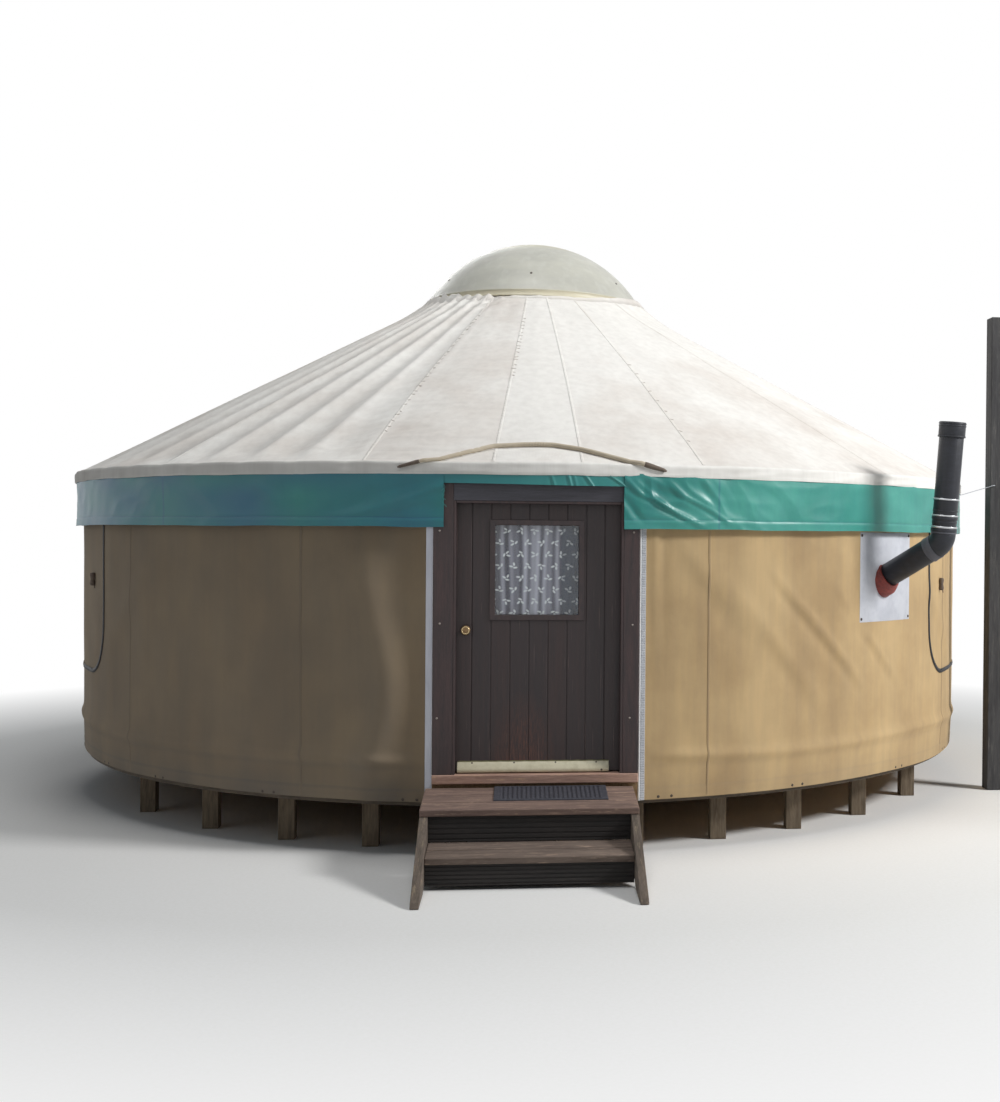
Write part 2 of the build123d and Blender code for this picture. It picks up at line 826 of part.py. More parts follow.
# Steps
def sloping_board(front, width, half_length, top_at_front):
    """A board across the steps that falls forward with the landing; front is its lower edge."""
    board = Box(2 * half_length, width, step_board_thickness, align=(Align.CENTER, Align.MIN, Align.MAX))
    board = board.rotate(Axis.X, step_fall)
    return board.translate((steps_offset, -front, top_at_front))


def make_steps():
    """Landing, tread and risers between two cheeks, and the mat."""
    half = steps_width / 2
    inner = half - stringer_thickness
    pitch = (landing_board_width + board_gap) * math.cos(math.radians(step_fall))
    landing_front = landing_back + landing_boards * pitch
    boards = []
    for index in range(landing_boards):
        front = landing_front - index * pitch
        boards.append(sloping_board(front, landing_board_width, half, landing_top(front)))
    save("landing_boards", *boards)
    riser_front = landing_front - landing_nosing
    tread_pitch = (tread_board_width + board_gap) * math.cos(math.radians(step_fall))
    tread_front = riser_front + tread_boards * tread_pitch
    fall = math.tan(math.radians(step_fall))
    treads = []
    for index in range(tread_boards):
        front = tread_front - index * tread_pitch
        top = tread_height - (front - riser_front) * fall
        treads.append(sloping_board(front, tread_board_width, inner - tread_side_gap, top))
    save("tread_boards", *treads)
    x_low = steps_offset - inner + tread_side_gap
    x_high = steps_offset + inner - tread_side_gap
    board_drop = step_board_thickness / math.cos(math.radians(step_fall))
    upper_top = landing_top(riser_front) - board_drop - 2 * seat_gap
    upper = grooved_riser(x_low, x_high, riser_front, tread_height, upper_top)
    lower_front = tread_front - tread_nosing
    lower_top = tread_height - (lower_front - riser_front) * fall - board_drop - 2 * seat_gap
    lower = grooved_riser(x_low, x_high, lower_front, riser_ground_gap, lower_top)
    save("riser_boards", upper, lower)
    make_stringers(half, inner, landing_front, riser_front, lower_front, board_drop, fall)
    save("door_mat", make_mat())


def grooved_riser(x_low, x_high, front, low, high):
    """A decking board on edge with grooves along its outer face."""
    board = block(x_low, x_high, front - riser_thickness, front, low, high)
    count = 5
    step = (high - low) / count
    for index in range(count):
        height = low + (index + 0.5) * step
        groove = block(
            x_low - 1, x_high + 1, front - riser_groove, front + 1, height - riser_groove, height + riser_groove
        )
        board = board - groove
    return board


def make_stringers(half, inner, landing_front, riser_front, lower_front, board_drop, fall):
    """Cheek boards with a cleat under the tread, and two legs beside the bearer."""
    back = deck_radius + seat_gap
    nose = landing_front - landing_nosing / 2
    outline = [
        (back, landing_top(back) - board_drop),
        (nose, landing_top(nose) - board_drop),
        (stringer_foot - stringer_toe_height, stringer_toe_height),
        (stringer_foot, 0),
        (stringer_heel, 0),
        (riser_front - riser_thickness, stringer_soffit),
        (back, stringer_soffit),
    ]
    cleat_back = riser_front
    cleat_front = lower_front - riser_thickness - seat_gap
    cleat_top_back = tread_height - board_drop
    cleat_top_front = cleat_top_back - (cleat_front - riser_front) * fall
    cleat = [
        (cleat_back, cleat_top_back),
        (cleat_front, cleat_top_front),
        (cleat_front, cleat_top_front - cleat_size),
        (cleat_back, cleat_top_back - cleat_size),
    ]
    left_outer = steps_offset - half
    left_inner = steps_offset - inner
    right_inner = steps_offset + inner
    right_outer = steps_offset + half
    left = side_profile(outline, left_outer, left_inner)
    left = left + side_profile(cleat, left_inner, left_inner + cleat_size)
    right = side_profile(outline, right_inner, right_outer)
    right = right + side_profile(cleat, right_inner - cleat_size, right_inner)
    save("step_stringers", left, right)
    leg_front = back + step_leg_width
    leg_top = landing_top(leg_front) - board_drop - seat_gap
    legs = [
        block(left_inner, left_inner + step_leg_width, back, leg_front, 0, leg_top),
        block(right_inner - step_leg_width, right_inner, back, leg_front, 0, leg_top),
    ]
    save("step_legs", *legs)


def make_mat():
    """A rubber mat that lies on the landing against the sill."""
    board = Box(mat_width, mat_depth, mat_thickness, align=(Align.CENTER, Align.MIN, Align.MIN))
    front = frame_face + sill_nosing + 2 + mat_depth
    board = board.rotate(Axis.X, step_fall)
    return board.translate((mat_offset, -front, landing_top(front) + seat_gap))


# Flue
def make_flue():
    """Plate on the wall, red boot, sloping pipe, bend and leaning stack, then its post and stay."""
    start = wall_radius + seat_gap
    half_arc = math.degrees(math.asin(plate_width / 2 / wall_radius))
    plate_top = plate_bottom + plate_height
    plate = ring_sector(
        [
            (start, plate_bottom),
            (start + plate_thickness, plate_bottom),
            (start + plate_thickness, plate_top),
            (start, plate_top),
        ],
        plate_azimuth - half_arc,
        plate_azimuth + half_arc,
    )
    save("flue_plate", plate - flue_hole(2 * socket_clearance))
    rise = math.radians(flue_rise)
    lean = math.radians(90 - flue_lean)
    out = Vector(0, -math.cos(rise), math.sin(rise))
    up = Vector(0, -math.cos(lean), math.sin(lean))
    entry = Vector(0, -wall_radius, flue_height)
    corner = entry + out * (flue_reach / math.cos(rise))
    turn = lean - rise
    tangent = flue_bend_radius * math.tan(turn / 2)
    bend_start = corner - out * tangent
    bend_end = corner + up * tangent
    inside_end = entry - out * flue_diameter
    radius = flue_diameter / 2
    lower = Solid.make_cylinder(radius, (bend_start - inside_end).length, Plane(origin=inside_end, z_dir=out))
    lower = lower - Pos(0, 0, flue_height) * Cylinder(wall_inner_radius, 4 * flue_diameter)
    bend_centre = bend_start + Vector(0, math.sin(rise), math.cos(rise)) * flue_bend_radius
    circle = Face(Wire(Edge.make_circle(radius, Plane(origin=bend_start, z_dir=out))))
    bend_axis = Axis(bend_centre, Vector(-1, 0, 0))
    bend = Solid.revolve(circle, math.degrees(turn), bend_axis)
    stack_length = (flue_top - bend_end.Z) / math.sin(lean)
    stack_plane = Plane(origin=bend_end, z_dir=up)
    stack = Solid.make_cylinder(radius, stack_length, stack_plane)
    bore = Solid.make_cylinder(radius - flue_wall, stack_length + 1, stack_plane)
    save("flue_pipe", (lower + bend).rotate(Axis.Z, flue_azimuth))
    save("flue_stack", (stack - bore).rotate(Axis.Z, flue_azimuth))
    sleeve_plane = Plane(origin=bend_end + up * (stack_length - flue_sleeve_height), z_dir=up)
    sleeve = pipe_ring(sleeve_plane, radius, flue_sleeve_height, flue_sleeve_thickness)
    bands = []
    for height in band_heights:
        distance = (height - bend_end.Z) / math.sin(lean) - band_height / 2
        bands.append(pipe_ring(Plane(origin=bend_end + up * distance, z_dir=up), radius, band_height, band_thickness))
    rings = [ring.rotate(Axis.Z, flue_azimuth) for ring in bands + [sleeve]]
    save("flue_bands", *rings)
    save("flue_boot", flue_boot(entry, out).rotate(Axis.Z, flue_azimuth))
    make_stay(bend_end, up, lean, radius)


def pipe_ring(plane, radius, height, thickness):
    """A band around the pipe, just clear of it."""
    outer = Solid.make_cylinder(radius + seat_gap + thickness, height, plane)
    return outer - Solid.make_cylinder(radius + seat_gap, height, plane)


def flue_boot(entry, out):
    """A rubber cone around the sloping pipe, cut where it meets the plate."""
    start = entry - out * collar_length
    plane = Plane(origin=start, z_dir=out)
    cone = Solid.make_cone(collar_base_radius, collar_top_radius, 2 * collar_length, plane)
    bore = Solid.make_cylinder(flue_diameter / 2 + seat_gap, 2 * collar_length, plane)
    wall = Pos(0, 0, flue_height) * Cylinder(wall_radius + plate_thickness + 2 * seat_gap, plate_height)
    return cone - bore - wall


def make_stay(bend_end, up, lean, radius):
    """A timber post, and the taut wire from the top band to it."""
    half = post_width / 2
    post_x = (wall_radius + post_distance) * math.sin(math.radians(post_azimuth))
    post_y = (wall_radius + post_distance) * math.cos(math.radians(post_azimuth))
    save("flue_post", block(post_x - half, post_x + half, post_y - half, post_y + half, 0, post_height))
    height = band_heights[-1]
    centre = bend_end + up * ((height - bend_end.Z) / math.sin(lean))
    band_centre = centre.rotate(Axis.Z, flue_azimuth)
    target = Vector(post_x, -post_y, stay_post_height)
    plane = Plane(origin=band_centre, z_dir=target - band_centre)
    wire = Solid.make_cylinder(stay_diameter / 2, (target - band_centre).length, plane)
    grown = half + seat_gap
    post = block(post_x - grown, post_x + grown, post_y - grown, post_y + grown, 0, post_height)
    around = Plane(origin=centre - up * flue_diameter, z_dir=up)
    band = Solid.make_cylinder(radius + band_thickness + 2 * seat_gap, 2 * flue_diameter, around)
    save("flue_stay", wire - post - band.rotate(Axis.Z, flue_azimuth))


def main():
    os.makedirs("parts", exist_ok=True)
    make_deck()
    make_wall()
    make_lattice()
    make_poles()
    crown_top = make_crown()
    make_dome(crown_top)
    make_roof()
    make_valance()
    make_deflector()
    make_door_frame()
    make_door()
    make_battens()
    make_steps()
    make_flue()


main()
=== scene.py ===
"""Looks of a round tent-house: cloth, timber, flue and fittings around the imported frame, in metres.

The ground is z = 0 and the door faces -Y. An azimuth is measured from the door, positive towards +X.
"""
import math

import bmesh
import bpy
import numpy as np
from mathutils import Matrix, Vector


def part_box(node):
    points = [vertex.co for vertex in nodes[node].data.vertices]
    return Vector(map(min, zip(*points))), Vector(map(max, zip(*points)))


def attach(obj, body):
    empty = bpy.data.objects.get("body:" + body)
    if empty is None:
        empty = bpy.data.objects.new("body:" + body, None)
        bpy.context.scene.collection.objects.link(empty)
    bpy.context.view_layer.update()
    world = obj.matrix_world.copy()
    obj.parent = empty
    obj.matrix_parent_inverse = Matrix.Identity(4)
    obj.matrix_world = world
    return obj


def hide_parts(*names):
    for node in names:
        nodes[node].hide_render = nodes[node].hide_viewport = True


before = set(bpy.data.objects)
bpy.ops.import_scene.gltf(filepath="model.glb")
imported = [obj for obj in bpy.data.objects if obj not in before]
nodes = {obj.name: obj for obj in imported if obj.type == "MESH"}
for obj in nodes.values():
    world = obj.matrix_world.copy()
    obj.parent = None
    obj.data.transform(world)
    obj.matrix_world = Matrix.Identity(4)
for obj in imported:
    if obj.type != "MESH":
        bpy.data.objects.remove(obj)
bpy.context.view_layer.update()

# Radii and heights of the cloth, azimuths of its seams and of the flue
plan_radius = 3.2
wall_radius = 3.152
lining_radius = 3.1275
eave_radius = 3.204
eave_shoulder = 2.122
roof_slope = math.tan(math.radians(28.6))
roof_top_radius = 0.722
cone_end = 3.185
wall_top = 2.098
valance_top = 2.076
pole_step = 6.0
door_side = 10.25
seam_azimuths = (-162, -138, -114, -90, -66, -42, -18.5, -4.2, 4.8, 17.6, 42, 66, 90, 114, 138, 162)
flue_azimuth = 42.85
plate_azimuth = 43.3
stay_line = np.array([[2.4690, -2.5545, 1.9805], [3.1575, -1.3765, 2.1105]])
roof_nodes = tuple(name for name in nodes if name.startswith("roof_canvas"))
wall_nodes = tuple(name for name in nodes if name.startswith("wall_canvas"))


# Mesh helpers
def surface(name, points, wrap_rows=False, wrap_columns=False, uv=None, inside=(0, 0, 1.2)):
    """A grid of points (rows, columns, xyz) made into quads that face away from the point inside.

    A wrapped direction joins its last line of points to its first one.
    """
    rows, columns = points.shape[:2]
    down = np.arange(rows + wrap_rows)[:, None]
    across = np.arange(columns + wrap_columns)
    index = (down % rows) * columns + across % columns

    def corners(grid):
        return np.stack([grid[:-1, :-1], grid[1:, :-1], grid[1:, 1:], grid[:-1, 1:]], -1).reshape(-1, 4)

    quads = corners(index)
    vertices = points.reshape(-1, 3).astype(float)
    spots = vertices[quads]
    normals = np.cross(spots[:, 2] - spots[:, 0], spots[:, 3] - spots[:, 1])
    flip = float((normals * (spots.mean(1) - np.array(inside))).sum()) < 0
    if flip:
        quads = quads[:, ::-1]
    mesh = bpy.data.meshes.new(name)
    mesh.vertices.add(len(vertices))
    mesh.vertices.foreach_set("co", vertices.ravel())
    mesh.loops.add(quads.size)
    mesh.loops.foreach_set("vertex_index", np.ascontiguousarray(quads).ravel())
    mesh.polygons.add(len(quads))
    mesh.polygons.foreach_set("loop_start", np.arange(len(quads)) * 4)
    mesh.polygons.foreach_set("use_smooth", np.ones(len(quads), dtype=bool))
    mesh.update(calc_edges=True)
    if uv is not None:
        order = corners(np.arange(index.size).reshape(index.shape))
        if flip:
            order = order[:, ::-1]
        layer = mesh.uv_layers.new(name="UVMap")
        layer.data.foreach_set("uv", uv.reshape(-1, 2)[order].ravel())
    return mesh


def paint(mesh, tone, dirt_and_shade, shape=None):
    """Stores two numbers at each point, its tone and its dirt, which the cloth's material reads. On many
    pieces both also hold painted shade and painted light.

    Numbers worked out for rows and columns of points are given with the shape of that grid.
    """
    for name, values in (("tone", tone), ("dirt_and_shade", dirt_and_shade)):
        spread = np.broadcast_to(values, shape or len(mesh.vertices))
        layer = mesh.attributes.new(name, "FLOAT", "POINT")
        layer.data.foreach_set("value", spread.astype(np.float32).ravel())


def piece(name, mesh, material, stands_for=(), body="house"):
    """Puts a mesh, or several as one, into the scene on one of the two bodies."""
    if isinstance(mesh, list):
        mesh = joined(name, mesh)
    made = bpy.data.objects.new(name, mesh)
    bpy.context.scene.collection.objects.link(made)
    mesh.materials.clear()
    mesh.materials.append(material)
    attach(made, body)
    if stands_for:
        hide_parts(*stands_for)
    return made


def joined(name, meshes):
    """Several meshes made into one."""
    whole = bmesh.new()
    for mesh in meshes:
        whole.from_mesh(mesh)
    result = bpy.data.meshes.new(name)
    whole.to_mesh(result)
    whole.free()
    return result


def signed(degrees):
    """Azimuths from -180 to 180 degrees, so that left of the door is negative."""
    return (degrees + 180) % 360 - 180


def off_pole(degrees):
    """Degrees from the nearest roof pole."""
    return np.abs((degrees + pole_step / 2) % pole_step - pole_step / 2)


def ramp(value, start, width):
    """0 up to start, then a straight rise to 1 over width; a negative width looks the other way."""
    return np.clip((value - start) / width, 0, 1)


def together(*parts):
    """Numbers that belong together, spread to one shape and put side by side in the last axis."""
    return np.stack(np.broadcast_arrays(*parts), -1)


def polar(radius, degrees, height):
    """Points on the round plan, as an array of xyz."""
    radius, degrees, height = np.broadcast_arrays(radius, degrees, height)
    angle = np.radians(degrees)
    return np.stack([radius * np.sin(angle), -radius * np.cos(angle), height], -1)


def soft_noise(across, down, cells_across, cells_down, seed):
    """Smooth relief from -1 to 1: random numbers on a lattice that repeats around, blended softly."""
    table = np.random.default_rng(seed).uniform(-1, 1, (cells_down + 1, cells_across))
    u = across * cells_across
    v = np.clip(down, 0, 0.9999) * cells_down
    i = np.floor(u).astype(int)
    j = np.floor(v).astype(int)
    s = u - i
    t = v - j
    s = s * s * (3 - 2 * s)
    t = t * t * (3 - 2 * t)
    left = i % cells_across
    right = (i + 1) % cells_across
    top = table[j, left] * (1 - s) + table[j, right] * s
    bottom = table[j + 1, left] * (1 - s) + table[j + 1, right] * s
    return top * (1 - t) + bottom * t


def bump_at(value, centre, width):
    """A smooth hump of height 1, a bell curve in the distance from its centre."""
    return np.exp(-(((value - centre) / width) ** 2))


def tube(name, path, radius, sides, twist=0.0, closed=False):
    """A round bar along a path: circles square to the line, whose radius may change on the way."""
    path = np.asarray(path, dtype=float)
    count = len(path)
    if closed:
        ahead = np.roll(path, -1, 0) - np.roll(path, 1, 0)
    else:
        ahead = np.gradient(path, axis=0)
    ahead /= np.linalg.norm(ahead, axis=1, keepdims=True)
    up = np.array([0.0, 0.0, 1.0])
    if abs(float(ahead[count // 2][2])) > 0.9:
        up = np.array([0.0, 1.0, 0.0])
    side = np.cross(ahead, up)
    side /= np.linalg.norm(side, axis=1, keepdims=True)
    over = np.cross(side, ahead)
    angle = np.linspace(0, 2 * math.pi, sides, endpoint=False) + np.linspace(0, twist, count)[:, None]
    size = np.broadcast_to(np.asarray(radius, dtype=float), (count,))[:, None, None]
    ring = np.cos(angle)[..., None] * side[:, None, :] + np.sin(angle)[..., None] * over[:, None, :]
    points = path[:, None, :] + size * ring
    if not closed:
        ends = path[[0, -1]][:, None, :] + 0 * ring[[0, -1]]
        points = np.concatenate([ends[:1], points, ends[1:]])
    mesh = surface(name, points, wrap_rows=closed, wrap_columns=True)
    return tidy(mesh, 1e-6)


def tidy(mesh, distance, flat=False):
    """Merges doubled corners and turns faces outwards; flat also joins triangles that lie in one plane."""
    work = bmesh.new()
    work.from_mesh(mesh)
    bmesh.ops.remove_doubles(work, verts=work.verts, dist=distance)
    if flat:
        bmesh.ops.dissolve_limit(work, angle_limit=math.radians(0.5), verts=work.verts, edges=work.edges)
    bmesh.ops.recalc_face_normals(work, faces=work.faces)
    work.to_mesh(mesh)
    work.free()
    return mesh


def lathe(name, profile, origin=(0, 0, 0), axis=(0, 0, 1), sides=48, wrap=True):
    """A profile of (radius, height) points turned about an axis through origin."""
    profile = np.asarray(profile, dtype=float)
    axis = np.asarray(axis, dtype=float)
    axis = axis / np.linalg.norm(axis)
    helper = np.array([1.0, 0.0, 0.0]) if abs(axis[0]) < 0.9 else np.array([0.0, 1.0, 0.0])
    side = np.cross(axis, helper)
    side /= np.linalg.norm(side)
    over = np.cross(axis, side)
    angle = np.linspace(0, 2 * math.pi, sides, endpoint=False)
    ring = np.cos(angle)[:, None] * side + np.sin(angle)[:, None] * over
    points = profile[:, None, :1] * ring + profile[:, None, 1:] * axis + np.array(origin)
    return tidy(surface(name, points, wrap_rows=wrap, wrap_columns=True), 1e-6)


def node_copy(name, source):
    """A CAD node's own mesh made of whole flat faces, ready for eased edges."""
    return tidy(joined(name, [nodes[source].data]), 1e-5, flat=True)


def timber(name, source, material, width, body="house"):
    """A rigid wooden or metal node with its hard edges rounded over the given width."""
    made = piece(name, node_copy(name, source), material, (source,), body)
    bevel = made.modifiers.new("eased_edges", "BEVEL")
    bevel.width = width
    bevel.segments = 2
    bevel.limit_method = "ANGLE"
    bevel.angle_limit = math.radians(35)
    bevel.harden_normals = True
    return made


def screws(name, places, axes, radius, material, body="house"):
    """Round-headed screws or eyelets: a low dimpled dome at each place, which points along its own axis."""
    profile = [(0, 0.28), (0.25, 0.30), (0.62, 0.26), (0.9, 0.12), (1.0, -0.1), (0, -0.1)]
    meshes = []
    for place, direction in zip(places, axes):
        scaled = [(r * radius, h * radius) for r, h in profile]
        meshes.append(lathe(name, scaled, place, direction, 12, wrap=False))
    piece(name, meshes, material, body=body)


# Materials
def shade(hex_colour):
    """An sRGB hex colour as linear red, green, blue and alpha."""
    parts = [int(hex_colour[i : i + 2], 16) / 255 for i in (1, 3, 5)]
    return [c / 12.92 if c <= 0.04045 else ((c + 0.055) / 1.055) ** 2.4 for c in parts] + [1.0]


def add(tree, kind, sockets=None, out=0, **settings):
    """Adds a node with its settings, gives one output; a socket takes a value or another node's output."""
    made = tree.nodes.new("ShaderNode" + kind)
    for key, value in settings.items():
        setattr(made, key, value)
    for key, value in (sockets or {}).items():
        if isinstance(value, bpy.types.NodeSocket):
            tree.links.new(value, made.inputs[key])
        else:
            made.inputs[key].default_value = value
    return made.outputs[out] if len(made.outputs) else made


def new_material(name):
    """An empty material and its node tree."""
    material = bpy.data.materials.new(name)
    material.use_nodes = True
    material.node_tree.nodes.clear()
    return material, material.node_tree


def woven_cloth(name, base, worn, dirt_and_shade, roughness, thread, depth=0.0004, gloss=None):
    """Cloth with a visible weave, cloudy wear, and the tone and dirt that its mesh stores, which also hold
    painted shade and painted light.

    The threads of the real cloth are under 1 mm, too fine to show, so they are drawn at the given spacing.
    """
    material, tree = new_material(name)
    uv = add(tree, "TexCoord", out="UV")
    place = add(tree, "TexCoord", out="Object")
    warp = add(tree, "TexWave", {"Vector": uv, "Scale": 0.314 / thread}, 1, bands_direction="X")
    weft = add(tree, "TexWave", {"Vector": uv, "Scale": 0.314 / thread}, 1, bands_direction="Y")
    weave = add(tree, "Math", {0: warp, 1: weft}, operation="ADD")
    cloud = add(tree, "TexNoise", {"Vector": place, "Scale": 1.7, "Detail": 5.0, "Roughness": 0.6})
    drawn = add(tree, "Mapping", {"Vector": place, "Scale": (1, 1, 0.12)})
    slub = add(tree, "TexNoise", {"Vector": drawn, "Scale": 22.0, "Detail": 3.0})
    tone = add(tree, "Attribute", out="Fac", attribute_name="tone")
    # stain reads the stored dirt, which on the roof, wall and weather strip is mostly painted shade.
    stain = add(tree, "Attribute", out="Fac", attribute_name="dirt_and_shade")
    faded = add(tree, "MapRange", {0: cloud, 1: 0.3, 2: 0.75})
    wear = add(tree, "Math", {0: faded, 1: tone}, operation="ADD", use_clamp=True)
    colour = add(tree, "Mix", {0: wear, 6: shade(base), 7: shade(worn)}, 2, data_type="RGBA")
    thick = add(tree, "MapRange", {0: slub, 1: 0.35, 2: 0.8, 3: 0.0, 4: 0.16})
    colour = add(tree, "Mix", {0: thick, 6: colour, 7: shade(dirt_and_shade)}, 2, data_type="RGBA")
    colour = add(tree, "Mix", {0: stain, 6: colour, 7: shade(dirt_and_shade)}, 2, data_type="RGBA")
    rough = add(tree, "MapRange", {0: cloud, 1: 0.2, 2: 0.8, 3: roughness - 0.05, 4: roughness + 0.08})
    normal = add(tree, "Bump", {"Height": weave, "Distance": depth, "Strength": 0.35})
    puckers = add(tree, "TexNoise", {"Vector": place, "Scale": 38.0, "Detail": 2.0})
    normal = add(tree, "Bump", {"Height": puckers, "Distance": 0.0012, "Strength": 0.3, "Normal": normal})
    shader = {"Base Color": colour, "Roughness": rough, "Normal": normal, **(gloss or {})}
    add(tree, "OutputMaterial", {0: add(tree, "BsdfPrincipled", shader)})
    return material


def board_chance(tree, place, axis, pitch, start):
    """A random number from 0 to 1 that is the same all over one board."""
    across = add(tree, "SeparateXYZ", {0: place}, axis)
    across = add(tree, "Math", {0: across, 1: start}, operation="SUBTRACT")
    across = add(tree, "Math", {0: across, 1: pitch}, operation="DIVIDE")
    number = add(tree, "Math", {0: across}, operation="FLOOR")
    return add(tree, "TexWhiteNoise", {"W": number}, noise_dimensions="1D")


def grained_wood(name, light, dark, grain, size, roughness, board=None, paler=None, depth=0.0008):
    """Timber: grain stretched along one axis, fine pores, and a tone of its own for each board.

    grain scales the three axes, small along the fibres. board is (axis, pitch, start) of the boards. The
    growth rings of the real wood are 1 to 3 mm apart, too fine to show, so they are drawn about 15 mm wide.
    """
    material, tree = new_material(name)
    place = add(tree, "TexCoord", out="Object")
    fibres = add(tree, "Mapping", {"Vector": place, "Scale": grain})
    broad = add(tree, "TexNoise", {"Vector": fibres, "Scale": size * 0.22, "Detail": 4.0, "Roughness": 0.6})
    fine = add(tree, "TexNoise", {"Vector": fibres, "Scale": size * 2.2, "Detail": 5.0, "Roughness": 0.7})
    waved = {"Vector": fibres, "Scale": size * 0.35, "Distortion": 2.5, "Detail": 3.0}
    rings = add(tree, "TexNoise", waved)
    figure = add(tree, "Math", {0: rings, 1: 0.6, 2: broad}, operation="MULTIPLY_ADD")
    share = add(tree, "MapRange", {0: figure, 1: 0.55, 2: 1.0})
    colour = add(tree, "Mix", {0: share, 6: shade(light), 7: shade(dark)}, 2, data_type="RGBA")
    pores = add(tree, "MapRange", {0: fine, 1: 0.35, 2: 0.75, 3: 0.0, 4: 0.45})
    colour = add(tree, "Mix", {0: pores, 6: colour, 7: shade(dark)}, 2, data_type="RGBA")
    if board:
        chance = board_chance(tree, place, *board)
        stained = add(tree, "MapRange", {0: chance, 1: 0.0, 2: 1.0, 3: 0.0, 4: 0.5})
        colour = add(tree, "Mix", {0: stained, 6: colour, 7: shade(dark)}, 2, data_type="RGBA")
    if paler:
        rubbed = {"Vector": fibres, "Scale": size * 0.5, "Detail": 5.0, "Roughness": 0.75}
        patch = add(tree, "TexNoise", rubbed)
        bare = add(tree, "MapRange", {0: patch, 1: 0.56, 2: 0.68, 3: 0.0, 4: 0.85})
        colour = add(tree, "Mix", {0: bare, 6: colour, 7: shade(paler)}, 2, data_type="RGBA")
    rough = add(tree, "MapRange", {0: fine, 1: 0.2, 2: 0.8, 3: roughness - 0.08, 4: roughness + 0.12})
    normal = add(tree, "Bump", {"Height": fine, "Distance": depth, "Strength": 0.6})
    swell = {"Height": broad, "Distance": depth * 2.5, "Strength": 0.4, "Normal": normal}
    normal = add(tree, "Bump", swell)
    shader = {"Base Color": colour, "Roughness": rough, "Normal": normal}
    add(tree, "OutputMaterial", {0: add(tree, "BsdfPrincipled", shader)})
    return material


def stained_door_boards():
    """Softwood under old dark stain: a tone for each board, pale scratches, red wear at the knob."""
    material, tree = new_material("dark_stained_boards")
    place = add(tree, "TexCoord", out="Object")
    fibres = add(tree, "Mapping", {"Vector": place, "Scale": (14, 14, 0.8)})
    broad = add(tree, "TexNoise", {"Vector": fibres, "Scale": 4.0, "Detail": 4.0, "Roughness": 0.6})
    fine = add(tree, "TexNoise", {"Vector": fibres, "Scale": 26.0, "Detail": 5.0, "Roughness": 0.7})
    share = add(tree, "MapRange", {0: broad, 1: 0.35, 2: 0.7})
    colour = add(tree, "Mix", {0: share, 6: shade("#2F2120"), 7: shade("#22191A")}, 2, data_type="RGBA")
    chance = board_chance(tree, place, 0, 0.103, -0.350)
    tone = add(tree, "MapRange", {0: chance, 1: 0.0, 2: 1.0, 3: 0.0, 4: 0.55})
    colour = add(tree, "Mix", {0: tone, 6: colour, 7: shade("#201A1D")}, 2, data_type="RGBA")
    rubbed = add(tree, "Mapping", {"Vector": place, "Location": (0.40, 0, -0.80), "Scale": (5.5, 0, 2.1)})
    far = add(tree, "VectorMath", {0: rubbed}, 1, operation="LENGTH")
    near_knob = add(tree, "MapRange", {0: far, 1: 0.2, 2: 1.1, 3: 0.75, 4: 0.0})
    ragged = add(tree, "MapRange", {0: fine, 1: 0.42, 2: 0.6})
    worn = add(tree, "Math", {0: near_knob, 1: ragged}, operation="MULTIPLY")
    colour = add(tree, "Mix", {0: worn, 6: colour, 7: shade("#6E4638")}, 2, data_type="RGBA")
    lines = add(tree, "Mapping", {"Vector": place, "Scale": (120, 120, 1.6)})
    scratch = add(tree, "TexNoise", {"Vector": lines, "Scale": 1.6, "Detail": 2.0})
    height = add(tree, "SeparateXYZ", {0: place}, 2)
    low = add(tree, "MapRange", {0: height, 1: 0.5, 2: 1.9, 3: 0.75, 4: 0.25})
    scratch = add(tree, "MapRange", {0: scratch, 1: 0.68, 2: 0.74})
    scratch = add(tree, "Math", {0: scratch, 1: low}, operation="MULTIPLY")
    colour = add(tree, "Mix", {0: scratch, 6: colour, 7: shade("#7F6A64")}, 2, data_type="RGBA")
    rough = add(tree, "MapRange", {0: fine, 1: 0.2, 2: 0.8, 3: 0.42, 4: 0.62})
    normal = add(tree, "Bump", {"Height": fine, "Distance": 0.0007, "Strength": 0.6})
    normal = add(tree, "Bump", {"Height": broad, "Distance": 0.002, "Strength": 0.4, "Normal": normal})
    shader = {"Base Color": colour, "Roughness": rough, "Normal": normal}
    add(tree, "OutputMaterial", {0: add(tree, "BsdfPrincipled", shader)})
    return material


def sheet_metal(name, base, marked, roughness, metallic, scale, drawn=(1, 1, 1)):
    """Sheet metal or painted steel: handling marks 10 to 40 mm across and a slightly uneven gloss."""
    material, tree = new_material(name)
    place = add(tree, "TexCoord", out="Object")
    stretched = add(tree, "Mapping", {"Vector": place, "Scale": drawn})
    marks = add(tree, "TexNoise", {"Vector": stretched, "Scale": scale, "Detail": 5.0, "Roughness": 0.65})
    broad = add(tree, "TexNoise", {"Vector": place, "Scale": 4.0, "Detail": 3.0})
    scuffed = add(tree, "MapRange", {0: marks, 1: 0.45, 2: 0.8, 3: 0.0, 4: 0.6})
    colour = add(tree, "Mix", {0: scuffed, 6: shade(base), 7: shade(marked)}, 2, data_type="RGBA")
    dulled = add(tree, "MapRange", {0: broad, 1: 0.45, 2: 0.8, 3: 0.0, 4: 0.35})
    colour = add(tree, "Mix", {0: dulled, 6: colour, 7: shade(marked)}, 2, data_type="RGBA")
    rough = add(tree, "MapRange", {0: marks, 1: 0.2, 2: 0.8, 3: roughness - 0.06, 4: roughness + 0.12})
    normal = add(tree, "Bump", {"Height": marks, "Distance": 0.0003, "Strength": 0.3})
    shader = {"Base Color": colour, "Roughness": rough, "Normal": normal, "Metallic": metallic}
    add(tree, "OutputMaterial", {0: add(tree, "BsdfPrincipled", shader)})
    return material


